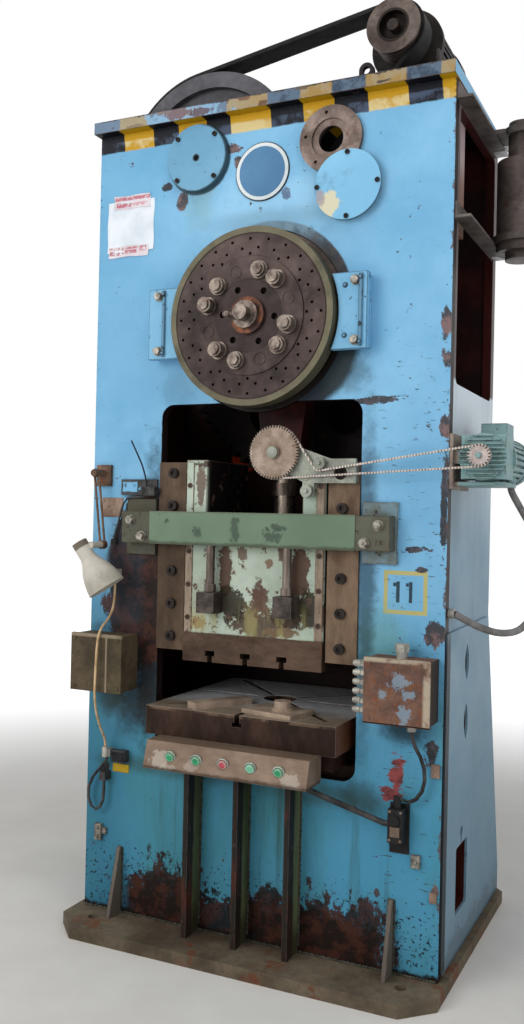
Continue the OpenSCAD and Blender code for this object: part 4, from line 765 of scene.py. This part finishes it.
old_metal("lamp_base lamp_arm", "rusty_steel_lamp", "7A6252", "3E2E26", 0.55, 0.4, 22, rust=0.52,
          rust_tint="6A3C26")
old_metal("large_sprocket", "rusty_steel_sprocket", "94857A", "675849", 0.5, 0.5, 16, rust=0.64)
old_metal("small_sprocket", "bare_steel_sprocket", "BDB0AA", "8A7E79", 0.5, 0.35, 30, rust=0.66)
old_metal("chain", "bare_steel_chain", "A59A92", "5A504A", 0.5, 0.4, 60, rust=0.64, marks=chain_marks)
old_metal("sprocket_bracket", "bare_steel_stay", "969A8F", "62635A", 0.5, 0.4, 12)
old_metal("port_ring", "oily_steel_ring", "83746C", "4E423D", 0.45, 0.5, 12)
old_metal("die_plate parallel_bar", "bare_steel_die", "BDA995", "907E6E", 0.4, 0.25, 10, rust=0.74)
old_metal("frame_bolts", "dark_iron_bolts", "332D2A", "161312", 0.45, 0.4, 30, marks=bolt_marks)
plain_skin("belt", "belt_rubber", "1C1A1A", "0C0B0B", 0.6, 0, 18, 0.3)
plain_skin("socket_box", "dark_iron_socket", "2B2A2A", "141313", 0.45, 0.2, 30)
plain_skin("conduits", "cord_rubber_conduits", "4A4B4A", "22201F", 0.55, 0.1, 20)
plain_skin("side_hose", "cord_rubber", "7C7A78", "55524F", 0.55, 0, 14, 0.2)
plain_skin("lamp_cord", "cord_cream", "D2B48C", "A3835C", 0.5, 0, 25, 0.1)
button_shade("button_1 button_2 button_5", "button_green", "3E9F6E", "2C7F58")
button_shade("button_4", "button_green_pale", "7DC2A0", "5CA684")
button_shade("button_3", "button_red", "C25560", "9C3F48")
lamp_shade("lamp_head", "lamp_white_shade")

# Looks of the pieces that are made here
worn_paint("", "blue_paint", *BLUE, 0.67, dirt=0.62, soil="5C8798")
worn_paint("", "blue_paint_emblem", "5580A4", "466E92", 0.68, edges=0.2)
worn_paint("", "lamp_white_emblem", "D9DDDC", "BCC6C8", 0.66, edges=0.3)
worn_paint("", "dark_iron_emblem", "3A4654", "27303A", 0.66, edges=0.3)
worn_paint("", "painted_yellow_plate", "BFA02A", "A88A22", 0.6, "4A4230", 0.5, "5A5230")
worn_paint("", "blue_paint_strip", "6E9DB8", "56809A", 0.58, "2A2A2C", 0.52, "34424A", 0.8)
old_metal("", "rusty_steel_plate", "9A8474", "6A5648", 0.6, 0.1, 14, rust=0.6)
old_metal("", "bare_steel_plate", "8E7C6E", "6A5A4E", 0.5, 0.3, 16, rust=0.66)
old_metal("", "oily_steel_weld", "5A5A50", "33302A", 0.6, 0.2, 30, rust=0.6)
old_metal("", "bare_steel_collar", "B7BDB2", "7C8078", 0.4, 0.4, 40, rust=0.74)
plain_skin("", "dark_iron_black", "26262A", "121214", 0.5, 0.1, 30)
label_shade("label_white", "D8DEE4", "C6CFD6")
label_shade("label_tape", "D2CCD0", "C4B8BE", (
    (-0.572, -0.43, 2.516, 2.528, "A8475A"), (-0.566, -0.505, 2.492, 2.508, "A8475A"),
    (-0.5, -0.44, 2.494, 2.506, "C08A96"), (-0.59, -0.44, 2.345, 2.352, "A8475A"),
    (-0.59, -0.55, 2.326, 2.34, "9E3E52"), (-0.54, -0.48, 2.33, 2.342, "A8475A"),
    (-0.47, -0.44, 2.334, 2.344, "C08A96"),
))


def piece(name, data, look):
    """An object that belongs to the frame, with its material"""
    made = placed(name, data)
    data.materials.append(LOOKS[look])
    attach(made, "frame")
    return made


# Cords, on the routes of their solids


def smooth_line(points, parts=4):
    """The points joined by an even curve through all of them"""
    ends = [Vector(p) for p in points]
    ends = [ends[0] * 2 - ends[1]] + ends + [ends[-1] * 2 - ends[-2]]
    line = []
    for a, b, c, d in zip(ends, ends[1:], ends[2:], ends[3:]):
        for i in range(parts):
            t = i / parts
            line.append(0.5 * (2 * b + (c - a) * t + (2 * a - 5 * b + 4 * c - d) * t * t
                               + (3 * b - a - 3 * c + d) * t ** 3))
    return line + [ends[-2]]


def curve_piece(name, points, radius, look):
    """A round line of one thickness through the points, and its length"""
    line = smooth_line(points)
    data = bpy.data.curves.new(name, "CURVE")
    data.dimensions = "3D"
    data.bevel_depth = radius
    data.bevel_resolution = 4
    data.use_fill_caps = True
    spline = data.splines.new("POLY")
    spline.points.add(len(line) - 1)
    for spot, p in zip(spline.points, line):
        spot.co = (*p, 1)
    return piece(name, data, look), sum((b - a).length for a, b in zip(line, line[1:]))


LAMP_CORD = (
    (-0.524, -0.022, 1.216), (-0.524, -0.022, 1.17), (-0.524, -0.024, 1.125), (-0.523, -0.038, 1.085),
    (-0.522, -0.066, 1.056), (-0.522, -0.098, 1.034), (-0.522, -0.119, 1.004), (-0.523, -0.125, 0.96),
    (-0.524, -0.127, 0.91), (-0.526, -0.127, 0.85), (-0.529, -0.122, 0.8), (-0.533, -0.106, 0.75),
    (-0.537, -0.08, 0.7), (-0.54, -0.054, 0.664), (-0.541, -0.038, 0.638), (-0.541, -0.034, 0.612),
)
SIDE_HOSE = (
    (0.654, 0.04, 1.14), (0.69, 0.06, 1.118), (0.73, 0.09, 1.096), (0.776, 0.13, 1.082),
    (0.82, 0.17, 1.09), (0.852, 0.205, 1.13), (0.866, 0.23, 1.19), (0.868, 0.244, 1.26),
    (0.856, 0.246, 1.34), (0.836, 0.24, 1.41), (0.806, 0.222, 1.47), (0.786, 0.21, 1.51),
    (0.78, 0.208, 1.532),
)
# The switch's whisker, a stiff wire
WHISKER = (
    (-0.398, -0.03, 1.512), (-0.402, -0.034, 1.545), (-0.418, -0.034, 1.59), (-0.44, -0.034, 1.632),
    (-0.462, -0.034, 1.672),
)
for name, route, radius, slot, stiffness in (
    ("lamp_cord_line", LAMP_CORD, 0.004, "cord_cream", "medium"),
    ("side_hose_line", SIDE_HOSE, 0.011, "cord_rubber", "stiff"),
):
    line, length = curve_piece(name, route, radius, slot)
    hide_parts(name.removesuffix("_line"))
curve_piece("switch_whisker", WHISKER, 0.0028, "dark_iron_black")

# Pieces made in mesh code, each from shapes of (points, faces)


def mesh_piece(name, shapes, look, smooth=False):
    """One piece out of one or more shapes"""
    verts, faces = [], []
    for points, sides in shapes:
        faces += [tuple(i + len(verts) for i in side) for side in sides]
        verts += [tuple(p) for p in points]
    data = bpy.data.meshes.new(name)
    data.from_pydata(verts, [], faces)
    data.validate()
    data.update()
    if smooth:
        data.polygons.foreach_set("use_smooth", [True] * len(data.polygons))
    return piece(name, data, look)


def skin(rings, capped=True):
    """Rings of points joined from the back to the front, closed at both ends or open"""
    sides = len(rings[0])
    last = sides * (len(rings) - 1)
    faces = []
    for start in range(0, last, sides):
        for k in range(sides):
            n = (k + 1) % sides
            faces.append((start + k, start + n, start + sides + n, start + sides + k))
    if capped:
        faces += [tuple(reversed(range(sides))), tuple(range(last, last + sides))]
    return [p for ring in rings for p in ring], faces


def circle(centre, radius, y, sides, first=0):
    """A ring round an axis along Y"""
    turns = [first + 2 * math.pi * k / sides for k in range(sides)]
    return [(centre[0] + radius * math.cos(a), y, centre[1] + radius * math.sin(a)) for a in turns]


def prism(centre, radius, y0, y1, sides=6, first=0):
    """A bar along Y with a small bevel on its front edge"""
    cut = min(0.15 * radius, 0.4 * abs(y0 - y1))
    return skin([circle(centre, r, y, sides, first)
                 for r, y in ((radius, y1), (radius, y0 + cut), (radius - cut, y0))])


def box_mesh(low, high, cut=0.0015):
    """A block with its front edges cut back a little"""
    (x0, y0, z0), (x1, y1, z1) = low, high
    return skin([[(x0 + c, y, z0 + c), (x1 - c, y, z0 + c), (x1 - c, y, z1 - c), (x0 + c, y, z1 - c)]
                 for c, y in ((0, y1), (0, y0 + cut), (cut, y0))])


# The emblem, a plain disc with a white ring
for name, look, slot, profile in (
    ("emblem_rim", "dark_iron_emblem", "dark_iron", ((0.097, 0), (0.097, -0.0025), (0.0955, -0.004))),
    ("emblem_band", "lamp_white_emblem", "lamp_white",
     ((0.0935, -0.0038), (0.0935, -0.0048), (0.0925, -0.0052))),
    ("emblem_field", "blue_paint_emblem", "blue_paint",
     ((0.082, -0.005), (0.082, -0.0056), (0.0812, -0.006))),
):
    mesh_piece(name, [skin([circle(EMBLEM, radius, y, 72) for radius, y in profile])], look)


def sheet_mesh(x0, x1, z0, z1, y, lift, cuts=12, seed=0):
    """A thin sheet stuck on flat, with softly lifted edges"""
    verts, faces = [], []
    steps = range(cuts + 1)
    for side in (0, 1):
        for u, v in ((i / cuts, j / cuts) for i in steps for j in steps):
            curl = (2 * abs(u - 0.5)) ** 6 + (2 * abs(v - 0.5)) ** 8
            wave = 0.5 + 0.5 * math.sin(7 * u + 5 * v + seed)
            verts.append((
                x0 + (x1 - x0) * u + 0.0015 * math.sin(9 * v + seed),
                y - 0.0006 * side - lift * curl * wave,
                z0 + (z1 - z0) * v + 0.0015 * math.sin(8 * u + seed),
            ))
    step = cuts + 1
    back = step * step
    for a in (i * step + j for i in range(cuts) for j in range(cuts)):
        b, c, d = a + step, a + step + 1, a + 1
        faces.append((d, c, b, a))
        faces.append((a + back, b + back, c + back, d + back))
    border = [i * step for i in steps] + [cuts * step + j for j in steps[1:]]
    border += [i * step + cuts for i in steps[-2::-1]] + list(steps[-2:0:-1])
    for a, b in zip(border, border[1:] + border[:1]):
        faces.append((a, b, b + back, a + back))
    return verts, faces


for name, look, *sheet in (
    ("label_sheet", "label_white", -0.6, -0.412, 2.335, 2.512, -0.0004, 0.0012),
    ("label_tape_top", "label_tape", -0.575, -0.428, 2.486, 2.532, -0.0012, 0.0015, 10, 2),
    ("label_tape_low", "label_tape", -0.594, -0.432, 2.318, 2.356, -0.0012, 0.0015, 10, 4),
):
    mesh_piece(name, [sheet_mesh(*sheet)], look)


def screw(x, z, y, size):
    """A hexagon head on a washer, standing out to the front from y"""
    under = y - 0.0012
    return [prism((x, z), size * 1.25, under, y, 24), prism((x, z), size, y - size * 0.8, under, 6, 0.3)]


# Small fittings on the front plate: look, slot, blocks from corner to corner, and their screws,
# with the y that they sit on, their size and their places in x and z
FIXTURES = (
    ("rusty_tag", "rusty_steel_plate", "rusty_steel", (((-0.598, -0.003, 1.408), (-0.512, 0, 1.476)),),
     ((-0.003, 0.0035, ((-0.588, 1.466), (-0.522, 1.418))),)),
    ("yellow_tag", "painted_yellow_plate", "dark_iron", (((-0.53, -0.003, 0.522), (-0.464, 0, 0.551)),),
     ((-0.003, 0.002, ((-0.524, 0.5365), (-0.47, 0.5365))),)),
    ("switch_plate", "blue_paint", "blue_paint", (((-0.51, -0.01, 1.496), (-0.45, -0.0085, 1.532)),),
     ((-0.01, 0.005, ((-0.5, 1.52), (-0.462, 1.52))), (-0.0085, 0.005, ((-0.44, 1.506),)))),
    ("latch", "dark_iron_bolts", "dark_iron",
     (((-0.592, -0.016, 0.278), (-0.566, 0, 0.334)), ((-0.566, -0.01, 0.3), (-0.548, 0, 0.322))),
     ((-0.016, 0.006, ((-0.579, 0.322), (-0.579, 0.292))),)),
    ("edge_tag", "dark_iron_bolts", "dark_iron", (((0.548, -0.012, 0.372), (0.576, 0, 0.412)),),
     ((-0.012, 0.006, ((0.562, 0.392),)),)),
    ("edge_clip", "rusty_steel_plate", "rusty_steel",
     (((0.604, -0.01, 0.65), (0.63, 0, 0.69)), ((0.606, -0.008, 0.276), (0.628, 0, 0.306))),
     ((-0.01, 0.005, ((0.617, 0.68), (0.617, 0.66))),)),
    ("pad_strip_right", "blue_paint_strip", "blue_paint",
     (((0.3625, -0.0645, 1.95), (0.3745, -0.0555, 2.172)),),
     ((-0.0645, 0.006, ((0.3685, 2.16), (0.3685, 1.962))),
      (-0.056, 0.007, ((0.316, 2.14), (0.316, 1.985))))),
    ("pad_strip_left", "blue_paint_strip", "blue_paint",
     (((-0.334, -0.0645, 1.95), (-0.324, -0.0555, 2.172)),),
     ((-0.0645, 0.006, ((-0.329, 2.16), (-0.329, 1.962))),)),
    ("terminal_lid", "dark_iron_black", "dark_iron", (((-0.516, -0.034, 0.566), (-0.468, -0.0305, 0.598)),),
     ((-0.034, 0.003, ((-0.51, 0.592), (-0.474, 0.572))),)),
    ("socket_face", "bare_steel_plate", "bare_steel", (((0.494, -0.056, 0.47), (0.524, -0.0525, 0.5)),),
     ((-0.052, 0.0035, ((0.492, 0.545), (0.526, 0.545), (0.492, 0.46), (0.526, 0.46))),)),
)
for name, look, slot, blocks, screws in FIXTURES:
    shapes = [box_mesh(low, high) for low, high in blocks]
    for y, size, spots in screws:
        for x, z in spots:
            shapes += screw(x, z, y, size)
    mesh_piece(name, shapes, look)


def weld(name, start, end, step, radius, seed):
    """Short overlapping ridges along a line in a front face's corner"""
    a, b = Vector(start), Vector(end)
    count = int((b - a).length / step)
    along = (b - a).normalized()
    side = along.cross(Vector((0, 1, 0)))
    beads = []
    for i in range(count):
        mid = a + (b - a) * ((i + 0.5) / count)
        grow = radius * (1 + 0.18 * math.sin(3.1 * i + seed) + 0.1 * math.sin(7.7 * i + seed))
        turns = [2 * math.pi * k / 8 for k in range(8)]
        ring = [mid + side * grow * math.cos(t) + along * step * 0.75 * math.sin(t) for t in turns]
        top = [p * 0.45 + mid * 0.55 + Vector((0, -grow * 0.6, 0)) for p in ring]
        beads.append(skin([top, ring]))
    mesh_piece(name, beads, "oily_steel_weld", smooth=True)


# Welds up both sides of the ribs and gussets: places, half thickness, top, change of seed from side to side
WELD_LOW = 0.06
for kind, places, half, top, change in (
    ("rib", (-0.188, -0.008, 0.172), 0.011, 0.6, 1),
    ("gusset", (-0.492, 0.488), 0.009, 0.262, 0),
):
    for i, x in enumerate(places):
        for j, side in enumerate((-half, half)):
            foot, head = (x + side, -0.001, WELD_LOW), (x + side, -0.001, top)
            weld(f"{kind}_weld_{i}_{j}", foot, head, 0.009, 0.005, i + j * change)
weld("foot_weld", (-0.63, -0.003, 0.042), (0.63, -0.003, 0.042), 0.01, 0.006, 2)

# Collars round the push buttons, square to the panel's sloping face
BUTTON_PITCH = 0.094
BUTTON_PLACE = (-0.1925, 0.6545)
BUTTON_LEAN = math.atan(25 / 85)
COLLAR_RADIUS = 0.0205
COLLAR_BORE = 0.0155
COLLAR_LIFT = 0.0045


def collar(x):
    """An open ring round a button, from its outer foot over its face to its bore"""
    profile = (
        (COLLAR_RADIUS, 0), (COLLAR_RADIUS, -COLLAR_LIFT * 0.6), (COLLAR_RADIUS - 0.0015, -COLLAR_LIFT),
        (COLLAR_BORE + 0.001, -COLLAR_LIFT), (COLLAR_BORE, -COLLAR_LIFT * 0.7), (COLLAR_BORE, 0),
    )
    verts, faces = skin([circle((0, 0), radius, y, 40) for radius, y in profile], capped=False)
    turn = Matrix.Rotation(BUTTON_LEAN, 3, "X")
    return [Vector((x, *BUTTON_PLACE)) + turn @ Vector(p) for p in verts], faces


for i in range(5):
    ring = collar((i - 2) * BUTTON_PITCH)
    mesh_piece(f"button_collar_{i + 1}", [ring], "bare_steel_collar", smooth=True)

# The gear motor's finned end, seen past the small sprocket
FIN_REACH = 0.07
FIN_PITCH = 0.0125
FIN_HALF = 0.0025
FIN_FRONT = -0.01
FIN_FOOT = 0.008
fins = [prism(FINS, FIN_REACH, 0, FIN_FOOT, 64)]
for i in range(-5, 6):
    x, z = FINS[0], FINS[1] + i * FIN_PITCH
    half = math.sqrt(FIN_REACH ** 2 - (i * FIN_PITCH) ** 2)
    fins.append(box_mesh((x - half, FIN_FRONT, z - FIN_HALF), (x + half, FIN_FOOT, z + FIN_HALF)))
mesh_piece("gearmotor_fins", fins, "teal_paint")

# Floor, surround and light
FLOOR_HALF = 14


def make_floor():
    """A pale floor that runs to white far off"""
    s = Shade("", "pale_floor", 0.75)
    far = s.vector("LENGTH", s.vector("MULTIPLY", s.place, (1, 1, 0)))
    s.colour = s.mottle("D6D3CE", "DEDCD8", 0.3, 0.7, 2.5, 6, 0.65)
    s.coat("FAFAFA", 1, s.rise(far, 1.4, 4))
    s.finish(0.75, s.noise(60), 0.1, 0.001)
    s.give(s.bsdf.inputs["Emission Color"], "FFFFFF")
    s.give(s.bsdf.inputs["Emission Strength"], s.times(s.rise(far, 2.2, 5.5), 0.75))
    data = bpy.data.meshes.new("floor")
    corners = [(x * FLOOR_HALF, y * FLOOR_HALF, 0) for x, y in ((-1, -1), (1, -1), (1, 1), (-1, 1))]
    data.from_pydata(corners, [], [(0, 1, 2, 3)])
    data.materials.append(s.mat)
    made = placed("floor", data)
    made.location.z = -0.0005


def make_light(name, place, aim, size, power, colour):
    """A square lamp that looks at a point"""
    data = bpy.data.lights.new(name, "AREA")
    data.size = size
    data.energy = power
    data.color = rgb(colour)[:3]
    lamp = placed(name, data)
    lamp.location = place
    lamp.rotation_euler = (Vector(aim) - Vector(place)).to_track_quat("-Z", "Y").to_euler()


WORLD_LIGHT = 0.42


def make_world():
    """A plain white surround: its light on the object is lower than its look"""
    world = bpy.data.worlds.new("surround")
    bpy.context.scene.world = world
    world.use_nodes = True
    tree = world.node_tree
    back = tree.nodes["Background"]
    back.inputs["Color"].default_value = (1, 1, 1, 1)
    path = tree.nodes.new("ShaderNodeLightPath")
    seen = path.outputs["Is Transmission Ray"]
    for ray in ("Is Glossy Ray", "Is Camera Ray"):
        either = tree.nodes.new("ShaderNodeMath")
        either.operation = "MAXIMUM"
        tree.links.new(path.outputs[ray], either.inputs[0])
        tree.links.new(seen, either.inputs[1])
        seen = either.outputs[0]
    level = tree.nodes.new("ShaderNodeMapRange")
    level.inputs["To Min"].default_value = WORLD_LIGHT
    level.inputs["To Max"].default_value = 1
    tree.links.new(seen, level.inputs["Value"])
    tree.links.new(level.outputs[0], back.inputs["Strength"])


make_floor()
make_light("key", (-2.4, -4.8, 3.2), (0, 0, 1.4), 3.2, 138, "FFFFFF")
make_light("fill", (4.2, -2.4, 3), (0.3, 0.2, 1.4), 2.6, 44, "F2F6FF")
make_light("top", (0.6, -1.2, 5.6), (0, 0.2, 1.4), 2.4, 52, "FFFDF8")
make_world()
bpy.context.scene.view_settings.view_transform = "Standard"
